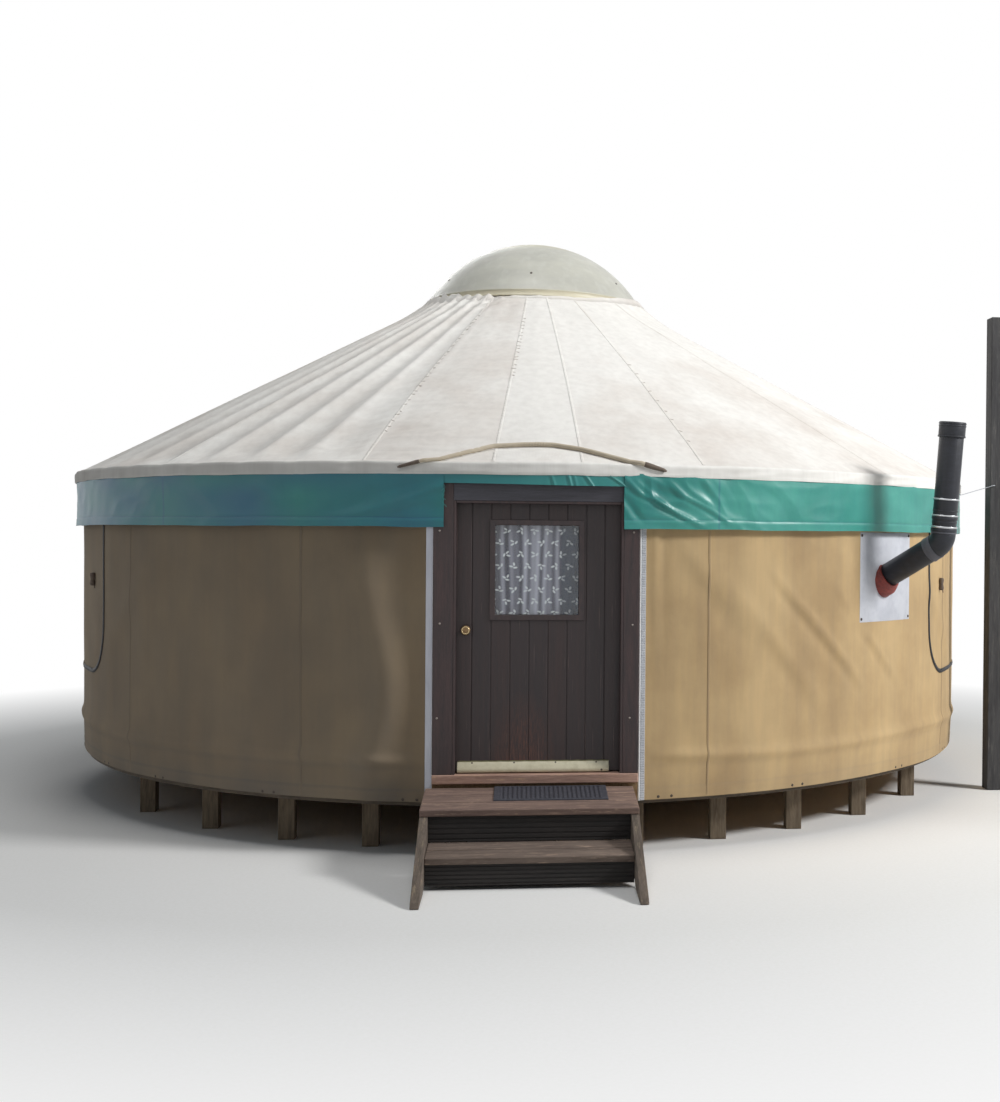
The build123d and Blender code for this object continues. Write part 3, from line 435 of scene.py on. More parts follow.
def moulded_rubber(name, base, worn, roughness=0.7):
    """Rubber, silicone or tape: matt, with dust in its hollows."""
    material, tree = new_material(name)
    place = add(tree, "TexCoord", out="Object")
    dust = add(tree, "TexNoise", {"Vector": place, "Scale": 45.0, "Detail": 4.0, "Roughness": 0.65})
    share = add(tree, "MapRange", {0: dust, 1: 0.45, 2: 0.8})
    colour = add(tree, "Mix", {0: share, 6: shade(base), 7: shade(worn)}, 2, data_type="RGBA")
    normal = add(tree, "Bump", {"Height": dust, "Distance": 0.0005, "Strength": 0.4})
    shader = {"Base Color": colour, "Roughness": roughness, "Normal": normal}
    add(tree, "OutputMaterial", {0: add(tree, "BsdfPrincipled", shader)})
    return material


def clouded_acrylic():
    """Vacuum-formed acrylic gone milky outdoors: light comes through, shapes don't.

    Grey-green with faint runs down the cap, yellow where it is thin at the top and dirty at the rim.
    """
    material, tree = new_material("clouded_acrylic")
    place = add(tree, "TexCoord", out="Object")
    height = add(tree, "SeparateXYZ", {0: place}, 2)
    spread = add(tree, "Mapping", {"Vector": place, "Scale": (1, 1, 2.5)})
    film = add(tree, "TexNoise", {"Vector": spread, "Scale": 3.2, "Detail": 4.0, "Roughness": 0.6})
    share = add(tree, "MapRange", {0: film, 1: 0.3, 2: 0.75})
    colour = add(tree, "Mix", {0: share, 6: shade("#D8D7CA"), 7: shade("#C3C2B8")}, 2, data_type="RGBA")
    runs = add(tree, "Mapping", {"Vector": place, "Scale": (9, 9, 0.5)})
    streak = add(tree, "TexNoise", {"Vector": runs, "Scale": 2.0, "Detail": 3.0})
    streak = add(tree, "MapRange", {0: streak, 1: 0.5, 2: 0.75, 3: 0.0, 4: 0.4})
    colour = add(tree, "Mix", {0: streak, 6: colour, 7: shade("#E4E4DB")}, 2, data_type="RGBA")
    low = add(tree, "MapRange", {0: height, 1: 3.470, 2: 3.485, 3: 0.7, 4: 0.0})
    colour = add(tree, "Mix", {0: low, 6: colour, 7: shade("#F2E8C8")}, 2, data_type="RGBA")
    high = add(tree, "MapRange", {0: height, 1: 3.84, 2: 3.94, 3: 0.0, 4: 0.55})
    colour = add(tree, "Mix", {0: high, 6: colour, 7: shade("#DDD2A2")}, 2, data_type="RGBA")
    rough = add(tree, "MapRange", {0: film, 1: 0.3, 2: 0.8, 3: 0.32, 4: 0.5})
    waves = add(tree, "TexNoise", {"Vector": place, "Scale": 9.0})
    normal = add(tree, "Bump", {"Height": waves, "Distance": 0.002, "Strength": 0.3})
    shader = {"Base Color": colour, "Roughness": rough, "Normal": normal}
    shader.update({"Transmission Weight": 0.25, "IOR": 1.49})
    add(tree, "OutputMaterial", {0: add(tree, "BsdfPrincipled", shader)})
    return material


def float_glass():
    """Float glass: clear with a faint green, and a few smears in its gloss."""
    material, tree = new_material("float_glass")
    place = add(tree, "TexCoord", out="Object")
    wiped = add(tree, "Mapping", {"Vector": place, "Scale": (1, 1, 0.4)})
    smear = add(tree, "TexNoise", {"Vector": wiped, "Scale": 14.0, "Detail": 4.0})
    rough = add(tree, "MapRange", {0: smear, 1: 0.4, 2: 0.8, 3: 0.0, 4: 0.06})
    shader = {"Base Color": shade("#EEF4F2"), "Roughness": rough, "Transmission Weight": 1.0, "IOR": 1.5}
    add(tree, "OutputMaterial", {0: add(tree, "BsdfPrincipled", shader)})
    return material


def printed_voile():
    """Sheer voile, grey-lilac, with white leaf sprigs on a staggered grid, each turned its own way.

    The grid is 78 by 64 mm. A sprig is three ellipses in the sheet's own UV, which is in metres.
    """
    material, tree = new_material("printed_voile")
    uv = add(tree, "TexCoord", out="UV")
    across = add(tree, "SeparateXYZ", {0: uv}, 0)
    down = add(tree, "Math", {0: across.node.outputs[1], 1: 0.064}, operation="DIVIDE")
    across = add(tree, "Math", {0: across, 1: 0.078}, operation="DIVIDE")
    row = add(tree, "Math", {0: down}, operation="FLOOR")
    across = add(tree, "Math", {0: row, 1: 0.5, 2: across}, operation="MULTIPLY_ADD")
    column = add(tree, "Math", {0: across}, operation="FLOOR")
    cell = add(tree, "CombineXYZ", {0: column, 1: row})
    chance = add(tree, "TexWhiteNoise", {"Vector": cell}, noise_dimensions="2D")
    turn = add(tree, "Math", {0: chance, 1: 6.28}, operation="MULTIPLY")
    x = add(tree, "Math", {0: across}, operation="FRACT")
    y = add(tree, "Math", {0: down}, operation="FRACT")
    x = add(tree, "Math", {0: x, 1: 0.5}, operation="SUBTRACT")
    y = add(tree, "Math", {0: y, 1: 0.5}, operation="SUBTRACT")
    spot = add(tree, "CombineXYZ", {0: x, 1: y})
    spot = add(tree, "VectorRotate", {"Vector": spot, "Angle": turn}, rotation_type="Z_AXIS")
    leaves = []
    for place, angle in (((0.0, 0.17, 0), 0.3), ((-0.16, -0.06, 0), 1.5), ((0.15, -0.10, 0), -1.2)):
        sockets = {"Vector": spot, "Location": place, "Rotation": (0, 0, angle), "Scale": (0.08, 0.16, 1)}
        leaf = add(tree, "Mapping", sockets, vector_type="TEXTURE")
        length = add(tree, "VectorMath", {0: leaf}, 1, operation="LENGTH")
        leaves.append(add(tree, "MapRange", {0: length, 1: 0.8, 2: 1.15, 3: 1.0, 4: 0.0}))
    sprig = add(tree, "Math", {0: leaves[0], 1: leaves[1]}, operation="MAXIMUM")
    sprig = add(tree, "Math", {0: sprig, 1: leaves[2]}, operation="MAXIMUM")
    fold = add(tree, "Attribute", out="Fac", attribute_name="tone")
    colour = add(tree, "Mix", {0: fold, 6: shade("#433E5C"), 7: shade("#F0E9FF")}, 2, data_type="RGBA")
    layer = add(tree, "Attribute", out="Fac", attribute_name="dirt_and_shade")
    colour = add(tree, "Mix", {0: layer, 6: colour, 7: shade("#2F3B58")}, 2, data_type="RGBA")
    printed = add(tree, "Math", {0: layer, 1: -0.6, 2: 1.0}, operation="MULTIPLY_ADD")
    printed = add(tree, "Math", {0: sprig, 1: printed}, operation="MULTIPLY")
    colour = add(tree, "Mix", {0: printed, 6: colour, 7: shade("#EFEDF4")}, 2, data_type="RGBA")
    alpha = add(tree, "MapRange", {0: sprig, 1: 0.0, 2: 1.0, 3: 0.86, 4: 1.0})
    place = add(tree, "TexCoord", out="Object")
    threads = add(tree, "TexNoise", {"Vector": place, "Scale": 700.0, "Detail": 1.0})
    normal = add(tree, "Bump", {"Height": threads, "Distance": 0.0002, "Strength": 0.3})
    shader = {"Base Color": colour, "Roughness": 0.8, "Normal": normal, "Alpha": alpha}
    add(tree, "OutputMaterial", {0: add(tree, "BsdfPrincipled", shader)})
    return material


def seen_directly(tree):
    """1 for rays from the camera, off glossy surfaces and through glass, else 0."""
    rays = add(tree, "LightPath").node.outputs
    seen = add(tree, "Math", {0: rays["Is Camera Ray"], 1: rays["Is Glossy Ray"]}, operation="MAXIMUM")
    return add(tree, "Math", {0: seen, 1: rays["Is Transmission Ray"]}, operation="MAXIMUM")


def plain_ground():
    """Pale studio floor that fades to white away from the object, where it is seen directly."""
    material, tree = new_material("plain_ground")
    place = add(tree, "TexCoord", out="Object")
    speck = add(tree, "TexNoise", {"Vector": place, "Scale": 60.0, "Detail": 2.0})
    share = add(tree, "MapRange", {0: speck, 1: 0.3, 2: 0.7})
    tint = add(tree, "Mix", {0: share, 6: shade("#F2F1EE"), 7: shade("#F6F5F3")}, 2, data_type="RGBA")
    diffuse = add(tree, "BsdfDiffuse", {"Color": tint})
    white = add(tree, "Emission", {"Color": (1, 1, 1, 1), "Strength": 1.0})
    away = add(tree, "VectorMath", {0: place}, 1, operation="LENGTH")
    fade = add(tree, "MapRange", {0: away, 1: 4.6, 2: 7.5})
    share = add(tree, "Math", {0: fade, 1: seen_directly(tree)}, operation="MULTIPLY")
    add(tree, "OutputMaterial", {0: add(tree, "MixShader", {0: share, 1: diffuse, 2: white})})
    return material


# Proofed cotton canvas, sun-bleached: matt cream with a pink cast, cloudy where rain has washed it. Its
# upper right is painted paler as a highlight, and its grey third colour also paints shade.
roof_canvas = woven_cloth("proofed_roof_canvas", "#F4F1EB", "#DCD3CA", "#9A9189", 0.82, 0.004)
# The same canvas dyed sand, matt. Besides the slubs its grey third colour paints shade: in the creases, at
# the foot and on the left side.
wall_canvas = woven_cloth("proofed_wall_canvas", "#C9AC7E", "#AE926A", "#6C655D", 0.8, 0.004)
# Coated awning cloth: green, smooth and half glossy, so its folds catch long highlights. Its blue third
# colour marks seams and stitches and is the painted shade of the left side.
coated = {"Coat Weight": 0.22, "Coat Roughness": 0.25}
valance_sheet = woven_cloth(
    "coated_awning_cloth", "#1A8175", "#44A192", "#125E78", 0.46, 0.003, 0.0002, coated
)
# Needled wool felt: thick, soft and quite matt.
felt_lining = woven_cloth("wool_felt", "#E4DED2", "#D6CFC1", "#B5AC9C", 0.95, 0.006, 0.001)
# A padded tube of the roof canvas: cream, a little grey.
rope_cloth = woven_cloth("padded_canvas_roll", "#DDD1BC", "#C0B29B", "#8E7F69", 0.85, 0.003)
acrylic = clouded_acrylic()
glass = float_glass()
voile = printed_voile()
# Ash laths, steamed and planed: pale, straight-grained, satin.
ash = grained_wood("steamed_ash", "#D9BE91", "#B8935F", (8, 8, 1.2), 16.0, 0.5)
ash_poles = grained_wood("planed_ash", "#DCC299", "#BC9867", (6, 6, 2.5), 14.0, 0.5)
# Bent plywood: fine layers show as level lines.
plywood = grained_wood("bent_plywood", "#D2B484", "#A8824F", (1.5, 1.5, 14), 18.0, 0.55)
# The deck rim is the same sheet gone grey and dark in the damp under the skirt.
rim_ply = grained_wood("damp_plywood", "#6E6253", "#453C32", (1.5, 1.5, 14), 18.0, 0.8)
# Sawn larch joists and pine boards under the floor: coarse, dull.
deck_timber = grained_wood("sawn_larch", "#A98C66", "#75593C", (10, 1.2, 10), 12.0, 0.75)
floor_planks = grained_wood("planed_pine", "#CFAE7C", "#A9824F", (10, 1.0, 10), 12.0, 0.5, (0, 0.121, 0.0))
sawn_posts = grained_wood("sawn_softwood", "#8F7F6A", "#5E5142", (12, 12, 1.2), 12.0, 0.85)
# Softwood frame under dark wood stain, slightly glossy: red-brown on the posts. The header's cool slate is
# the same stain with painted shade from the eave.
frame_stain = grained_wood("stained_frame_posts", "#443130", "#271E1F", (14, 14, 1.1), 16.0, 0.5)
header_stain_and_shade = grained_wood("stained_and_shaded_header", "#4B4A52", "#34333A", (1.1, 14, 14), 16.0, 0.5)
beading_stain = grained_wood("stained_beading", "#403130", "#292123", (6, 14, 2.0), 16.0, 0.48)
door_stain = stained_door_boards()
# The sill is rubbed to bare wood where feet pass: chips of tan in dark stain.
worn_sill = grained_wood(
    "foot_worn_sill", "#D2AC9A", "#9A796B", (1.0, 12, 12), 16.0, 0.7, None, "#DAB58E", 0.0015
)
# Ribbed decking left outdoors: brown-grey, each board its own tone, raised grain bleached on top.
step_timber = grained_wood(
    "weathered_decking", "#87776B", "#5A4D45", (0.9, 9, 9), 14.0, 0.85, (1, 0.147, 0.02), "#AE9684", 0.0018
)
landing_timber = grained_wood(
    "trodden_decking", "#92796C", "#63514A", (0.9, 9, 9), 14.0, 0.82, (1, 0.147, 0.02), "#B89C86", 0.0018
)
riser_timber = grained_wood(
    "shaded_decking", "#35302E", "#1F1D1C", (0.9, 9, 9), 14.0, 0.85, None, None, 0.0015
)
cheek_timber = grained_wood(
    "weathered_cheeks", "#7B6D62", "#4E463E", (9, 1.0, 3.0), 14.0, 0.88, None, "#94846F", 0.0018
)
# A treated post gone silver: grey with upright splits.
old_post = grained_wood(
    "silvered_post", "#4F4E4E", "#343334", (12, 12, 0.9), 12.0, 0.88, None, "#67645F", 0.002
)
# Aluminium drip bar under cream enamel, chipped and streaked.
cream_paint = sheet_metal("cream_enamel", "#D6CFB4", "#A9A07E", 0.42, 0.0, 22.0)
bar_edge = moulded_rubber("weathered_sealant", "#6E6B45", "#8C8862")
# Turned brass gone brown in the hollows. The bright ring on the knob's face is a painted highlight.
turned_brass = sheet_metal("tarnished_brass", "#7C6549", "#4B392A", 0.36, 0.8, 60.0)
highlight_brass = sheet_metal("highlight_brass", "#C8B48C", "#937A55", 0.26, 0.85, 60.0)
# Zinc-plated steel: dull silver with a faint spangle.
galvanised = sheet_metal("zinc_plated_steel", "#B9BDC2", "#8F9499", 0.4, 0.9, 50.0)
# Vitreous enamel on steel: black with a soft blue sheen.
flue_enamel = sheet_metal("black_vitreous_steel", "#1F2127", "#32343E", 0.42, 0.15, 18.0, (1, 1, 3))
# The elbow's sockets are scuffed and dusty.
scuffed_enamel = sheet_metal("scuffed_vitreous_steel", "#4E4F57", "#6C6D74", 0.5, 0.1, 22.0)
# Stainless clamp bands: bright, brushed round the pipe.
flue_rings = sheet_metal("stainless_bands", "#C9CBCE", "#8D8F93", 0.3, 0.95, 40.0)
# Powder-coated sheet: pale grey, fine orange peel.
white_plate = sheet_metal("powder_coated_plate", "#C9CBD2", "#A9ACB6", 0.45, 0.1, 12.0)
# Anodised aluminium strip: grey, drawn along its length.
strip_metal = sheet_metal("anodised_strip", "#BFC1CA", "#9A9CA6", 0.4, 0.35, 20.0, (1, 1, 0.15))
ribbed_strip = sheet_metal("ribbed_edge_profile", "#C3C5C9", "#94969C", 0.5, 0.1, 25.0)
white_piping = sheet_metal("white_piping", "#E4E2E0", "#C5C2BE", 0.55, 0.0, 30.0)
screw_steel = sheet_metal("screw_steel", "#8E8680", "#5A524B", 0.42, 0.8, 80.0)
dark_eyelets = sheet_metal("blackened_eyelets", "#4A4038", "#2D2722", 0.5, 0.4, 80.0)
# Moulded rubber: near-black with a blue cast, dust between the ribs.
mat_rubber = moulded_rubber("ribbed_rubber", "#2E2F38", "#4A4B54")
# Silicone boot: brick red, waxy.
boot_rubber = moulded_rubber("red_silicone", "#823129", "#5E2825", 0.55)
zip_tape = moulded_rubber("zip_tape", "#161517", "#2A292B", 0.6)
end_cap = moulded_rubber("stiffened_end_caps", "#5C4F45", "#7A6B5C", 0.7)


# Roof cloth
def sag_depth(degrees):
    """How far the cloth sags between two poles: deep on the left, slight over the door and on the right."""
    near = signed(degrees)
    behind = ramp(np.abs(near), 110, 60)
    left = ramp(near, -15, -12) * (1 - 0.45 * behind)
    right = ramp(near, 36, 26) * (0.35 + 0.2 * behind)
    return 0.0022 + 0.036 * np.maximum(left, 0.7 * right)


def roof_relief(radius, degrees):
    """Cloth over the poles: a parabola that hangs from the two edges of each span, flat across the pole.

    Level wrinkles cross the panel left of the door, and short folds gather at the dome's left foot.
    """
    radius, degrees = np.broadcast_arrays(radius, degrees)
    near = signed(degrees)
    around = (degrees / 360) % 1
    reach = ramp(radius, 0.7, 2.5)
    offset = off_pole(degrees) / (pole_step / 2)
    pole_edge = np.degrees(0.010 / radius) / (pole_step / 2)
    share = np.clip((offset - pole_edge) / (1 - pole_edge), 0, 1)
    span = (radius / eave_radius) ** 0.8
    fade = np.clip((3.17 - radius) / 0.16, 0.05, 1)
    hang = sag_depth(degrees) * span * fade * share * (2 - share)
    panel = ramp(near, -31, 6) * ramp(near, -3.6, -0.8)
    level = soft_noise(around, reach, 34, 44, 12) + 0.5 * soft_noise(around + 0.01, reach, 52, 80, 13)
    level = level * np.clip((radius - 0.85) / 0.3, 0.2, 1) * fade
    crossing = soft_noise(around, reach, 48, 88, 16)
    level = 0.6 * level - 0.75 * bump_at(crossing, 0, 0.13)
    gather = 1 - np.abs(soft_noise(around + 0.35 * reach, reach, 72, 26, 14)) * 2
    foot = bump_at(near, -26, 24) * bump_at(radius, 0.88, 0.2)
    broad = soft_noise(around, reach, 36, 7, 11)
    sides = ramp(near, 2, 10) * ramp(near, 60, -20)
    soft = soft_noise(around + 0.12 * reach, reach, 40, 11, 15)
    wrinkles = 0.0045 * level * panel + 0.013 * gather * foot + 0.0022 * broad + 0.003 * soft * sides
    raised = (0.045 + 0.012 * np.sign(near)) * ramp(np.abs(near), 20, 45) * bump_at(radius, 0.78, 0.17)
    return wrinkles + raised - hang


def roof_height(radius, degrees):
    """Height of the roof cloth: the cone of the poles plus the relief of the cloth."""
    return eave_shoulder + 0.002 + (plan_radius - radius) * roof_slope + roof_relief(radius, degrees)


def eave_lip(degrees, down):
    """How far the lip stands out: laps that grow over one pole spacing and step back, and crumples."""
    near = signed(degrees)
    part = ((degrees + 0.6) % pole_step) / pole_step
    left = ramp(near, -14, -6) * 0.8 + 0.2
    lap = 0.0065 * part**1.4
    right = ramp(near, 8, 6) * np.clip((70 - near) / 20, 0.25, 1)
    crumple = soft_noise((degrees / 360) % 1, down, 210, 3, 5) * 0.0018
    folded = soft_noise((degrees / 360 + 0.02 * down) % 1, down * 0.8, 120, 2, 9) * 0.0045 * right
    return left * lap + crumple + folded + 0.002


def seam_place(azimuth, radius):
    """Azimuth of a seam: those over the front lean a little from crown to eave, the others run straight."""
    lean = {-18.5: 1.4, -4.2: -0.1, 4.8: -0.5, 17.6: -0.9}.get(azimuth, 0.0)
    return azimuth + lean * (radius - 2.2)


def panel_tone(degrees, radius):
    """Each panel between two seams has its own slight shade; the palest one lies over the door."""
    near = signed(degrees)
    shades = np.random.default_rng(3).uniform(-0.35, 0.0, len(seam_azimuths) + 1)
    shades[-1] = shades[0]
    tone = np.zeros(np.broadcast(degrees, radius).shape) + shades[0]
    for azimuth, shift in zip(seam_azimuths, shades[1:]):
        shift = {-42: -0.3, -18.5: -0.05, -4.2: -0.5, 4.8: -0.25, 17.6: -0.1}.get(azimuth, shift)
        tone = np.where(near > seam_place(azimuth, radius), shift, tone)
    return tone


def make_roof_cloth():
    """One skin: a cone of radius rows, a rounded shoulder, then the lip straight down at the eave.

    Columns are 0.4 degrees apart where the front shows, wider at the back.
    """
    degrees = np.concatenate([np.arange(-88, 76, 0.4), np.arange(76, 272, 1.0)])
    inner = np.linspace(roof_top_radius, 1.0, 18, endpoint=False)
    middle = np.linspace(1.0, 3.0, 74, endpoint=False)
    radii = np.concatenate([inner, middle, np.linspace(3.0, cone_end, 12)])[:, None]
    slope = roof_height(radii, degrees)
    cone = polar(radii, degrees, slope)
    bend = np.linspace(0, 1, 7)[1:, None]
    bend_radius = cone_end + (eave_radius - cone_end) * np.sin(bend * math.pi / 2)
    side = signed(degrees)
    scallop = np.sin(math.pi * ((degrees + 0.6) % pole_step) / pole_step) ** 0.7
    lift = 0.006 * np.clip((-side - 12) / 8, 0.1, 1) * scallop
    bend_height = slope[-1] + lift * np.sin(bend * math.pi) - 0.015 * bend**2
    bend_out = bend_radius + bend**2 * eave_lip(degrees, 0.0)
    shoulder = polar(bend_out, degrees, bend_height)
    down = np.linspace(0, 1, 8)[1:, None]
    hang = eave_radius + eave_lip(degrees, down) - 0.004 * (down > 0.99)
    around = degrees / 360 % 1
    low = 2.060 + 0.0025 * soft_noise(around, 0, 120, 1, 8)
    fall = bend_height[-1] * (1 - down) + low * down
    lip = polar(hang, degrees, fall)
    points = np.concatenate([cone, shoulder, lip])
    run = np.concatenate([[0], np.cumsum(np.linalg.norm(np.diff(points[:, 0], axis=0), axis=1))])[:, None]
    uv = together(np.radians(np.append(degrees, 272.0)) * 1.6, run)
    mesh = surface("roof_cloth", points, wrap_columns=True, uv=uv, inside=(0, 0, 1.0))
    reach = run / run[-1]
    radius = np.hypot(points[..., 0], points[..., 1])
    on_lip = ramp(radius, 3.195, 0.006)
    # Painted highlight: the roof made paler towards its upper right, where the key light falls.
    paler = 0.6 * ramp(radius, 2.3, -1.2) * ramp(side, -4.2, 1.0)
    # The 0.6 on_lip term is painted light: the upright lip made paler than the slope above it.
    tone = panel_tone(degrees, radius) - paler - 0.6 * on_lip + 0.1 * soft_noise(around, reach, 90, 12, 20)
    # Painted shade: grey in the hollows between the poles on the left, and along the level creases left of
    # the door.
    hollow_shade = ramp(off_pole(degrees), 0, 2) * (0.5 + 0.5 * soft_noise(around, reach, 260, 40, 22))
    streak = 0.20 * hollow_shade * ramp(side, -20, -20) * ramp(radius, 1.0, 0.6)
    lines = bump_at(soft_noise(around, reach, 48, 88, 16), 0, 0.13)
    streak = streak + 0.10 * lines * ramp(side, -19, 2) * ramp(side, -3.6, -1)
    shadow_side = 0.14 * ramp(side, -48, -25) * ramp(side, -170, 40)
    top_dirt = 0.22 * bump_at(reach, 0.0, 0.03)
    # Painted shade: the lip greyer towards the left.
    lip_shade_left = 0.25 * on_lip * np.clip(-side / 20, 0, 1)
    cloudy = 0.05 * soft_noise(around, reach, 90, 6, 21)
    dirt_and_shade = np.clip(streak + shadow_side + top_dirt + lip_shade_left + cloudy, 0, 1)
    paint(mesh, tone, dirt_and_shade, radius.shape)
    return piece("roof_cloth", mesh, roof_canvas, roof_nodes)


def seam_strip(azimuth, radii, half_width, lift, pucker):
    """A flat-felled seam: a narrow ribbon down the roof whose edges pull in and lift between stitches."""
    widths = np.array([-1.0, -0.92, -0.35, 0.35, 0.92, 1.0]) * half_width
    degrees = seam_place(azimuth, radii) + np.degrees(widths / radii)
    stitch = np.sin(2 * math.pi * radii / 0.034 + azimuth) * np.array([0, 0.6, 1, 1, 0.6, 0])
    edge = np.array([-0.6, 1, 1, 1, 1, -0.6]) * lift
    height = roof_height(radii, degrees) + edge + pucker * stitch
    uv = together(widths * 8, radii)
    mesh = surface("roof_seam", polar(radii, degrees, height), uv=uv, inside=(0, 0, 0))
    left = panel_tone(degrees[:, :1] - 1, radii)
    right = panel_tone(degrees[:, -1:] + 1, radii)
    tone = left + (right - left) * np.linspace(0, 1, 6) + 0.05
    paint(mesh, tone, (0.3, 0.06, 0.02, 0.02, 0.06, 0.3), degrees.shape)
    return mesh


def make_roof_seams():
    """Radial seams of the roof, and the puckered tufts where three of them over the front were gathered."""
    meshes = []
    for azimuth in seam_azimuths:
        radii = np.linspace(0.82, 3.182, 420)[:, None]
        gathered = azimuth in (-18.5, -4.2, 17.6)
        pucker = 0.0006 + (0.0014 * bump_at(radii, 1.7, 0.6) if gathered else 0 * radii)
        meshes.append(seam_strip(azimuth, radii, 0.008, 0.0013, pucker))
    seams = piece("roof_seams", meshes, roof_canvas)
    rows = []
    for azimuth, start, end, count, seed in (
        (-18.5, 1.15, 2.84, 27, 5), (-4.2, 1.22, 2.12, 17, 6), (17.6, 1.9, 2.9, 9, 7),
    ):
        chance = np.random.default_rng(seed)
        radii = np.linspace(start, end, count) + chance.uniform(-0.012, 0.012, count)
        rows.append(together(seam_place(azimuth, radii), radii, chance.uniform(-0.6, 0.6, count)))
    places = np.concatenate(rows)
    tufts = piece("seam_tufts", make_tufts(places), roof_canvas)
    return seams, tufts


def make_tufts(places):
    """Small pleats pinched up at a seam: each a short arch, a sine along and across, turned its own way."""
    along = np.linspace(-1, 1, 9)
    across = np.linspace(-1, 1, 5)
    u, v = np.meshgrid(along, across, indexing="ij")
    rise = np.cos(u * math.pi / 2) ** 0.7 * np.cos(v * math.pi / 2) * 0.005 - 0.0012
    azimuth, radius, turn = places.T[:, :, None, None]
    length, width = 0.017, 0.0055
    sideways = (u * np.cos(turn) - v * width / length * np.sin(turn)) * length
    outward = (u * np.sin(turn) + v * width / length * np.cos(turn)) * length
    spread = radius + outward
    degrees = azimuth + np.degrees((sideways + 0.008) / spread)
    points = polar(spread, degrees, roof_height(spread, degrees) + rise)
    meshes = [surface("seam_tuft", tuft, inside=(0, 0, 0)) for tuft in points]
    mesh = joined("seam_tufts", meshes)
    # Painted shade: each pleat darker where it is low, at its foot against the roof.
    paint(mesh, 0.3, np.clip(0.9 - rise * 190, 0, 0.9), degrees.shape)
    return mesh


def make_lining():
    """Felt inside the wall and under the roof, seen through the lattice and between the poles."""
    degrees = np.linspace(door_side, 360 - door_side, 341)
    heights = np.linspace(2.135, 0.448, 40)[:, None]
    bulge = 0.003 * soft_noise(degrees / 360, (2.135 - heights) / 1.7, 120, 12, 31)
    points = polar(lining_radius + bulge, degrees, heights)
    uv = together(np.radians(degrees) * 3.13, heights)
    wall = surface("wall_lining", points, uv=uv, inside=(0, 0, 1.3))
    paint(wall, 0.0, 0.0)
    sides = piece("wall_lining", wall, felt_lining, wall_nodes)
    degrees = np.arange(0, 360, 0.75)
    radii = np.linspace(0.72, 3.15, 44)[:, None]
    offset = off_pole(degrees) / (pole_step / 2)
    share = ramp(offset, 0.25, 0.75)
    hang = sag_depth(degrees) * share * (2 - share)
    span = np.clip(radii / eave_radius, 0, 1) ** 0.8 * np.clip((3.17 - radii) / 0.16, 0.05, 1)
    height = eave_shoulder + (plan_radius - radii) * roof_slope - 0.0215 - hang * span
    points = polar(radii, degrees, height)
    uv = together(np.radians(np.append(degrees, 360.0)) * 1.6, radii)
    over = surface("roof_lining", points, wrap_columns=True, uv=uv, inside=(0, 0, 0))
    paint(over, 0.0, 0.0)
    return sides, piece("roof_lining", over, felt_lining, roof_nodes)


# Wall cloth
def wall_relief(degrees, height):
    """Soft wrinkles of the wall: broad waves, faint uprights over the lattice and long drag folds.

    A fold is a bell curve across a slanting line, raised on one side and hollow on the other. The cloth
    lies flat beside the door and under the flue's plate.
    """
    down = (2.1 - height) / 1.83
    around = (degrees / 360) % 1
    near = signed(degrees)
    waves = 0.0058 * soft_noise(around, down, 52, 3, 41) + 0.0022 * soft_noise(around, down, 130, 7, 42)
    folds = 0.0
    for start, top, end, bottom, depth, width in (
        (24.7, 1.56, 39.2, 0.83, 0.0085, 0.042),
        (33.6, 1.46, 46.2, 0.83, 0.0065, 0.036),
        (13.5, 1.75, 25.0, 1.10, 0.005, 0.08),
        (17.5, 1.62, 33.0, 0.72, 0.005, 0.07),
        (52.0, 1.50, 66.0, 0.90, 0.004, 0.07),
        (-16.0, 1.55, -34.0, 0.75, 0.003, 0.10),
        (-44.0, 1.60, -58.0, 0.95, 0.003, 0.10),
    ):
        share = np.clip((near - start) / (end - start), 0, 1)
        line = top + (bottom - top) * share
        ends = np.sin(math.pi * share) ** 0.7
        folds = folds + 1.7 * depth * ends * bump_at(height, line, width)
        folds = folds - depth * ends * bump_at(height, line - 1.7 * width, 1.1 * width)
    belly = 0.052 * bump_at(near, -15.6 - 0.9 * np.sin(5.2 * height), 2.1) * ramp(height, 1.8, -0.35)
    belly = belly - 0.012 * bump_at(near, -20.2, 2.2) * ramp(height, 1.7, -0.5)
    upright = 0.0028 * np.sin(np.radians(degrees) * 30 + 0.6) * ramp(height, 0.6, 0.5)
    tucked = 0.009 * (bump_at(near, 11.9, 0.35) - bump_at(near, 12.7, 0.4)) * ramp(height, 0.9, 0.9)
    upright = upright + tucked
    stripes = 0.0016 * soft_noise(around, 0, 170, 1, 43) * ramp(height, 0.45, 0.3)
    calm = np.clip((np.abs(near) - door_side) / 1.2, 0, 1)
    beside = ramp(np.abs(near - 43.25), 6.1, 2.5)
    beyond = ramp(np.abs(height - 1.5), 0.30, 0.10)
    plate = np.maximum(beside, beyond)
    return (waves + folds + belly + upright + stripes) * calm * plate * plate * (3 - 2 * plate)


def hem_height(degrees):
    """Lower edge of the skirt, a little lower on the right, uneven by 3 mm."""
    tilt = 0.291 - 0.004 * np.sin(np.radians(degrees))
    return tilt + 0.003 * soft_noise((degrees / 360) % 1, 0, 26, 1, 44)


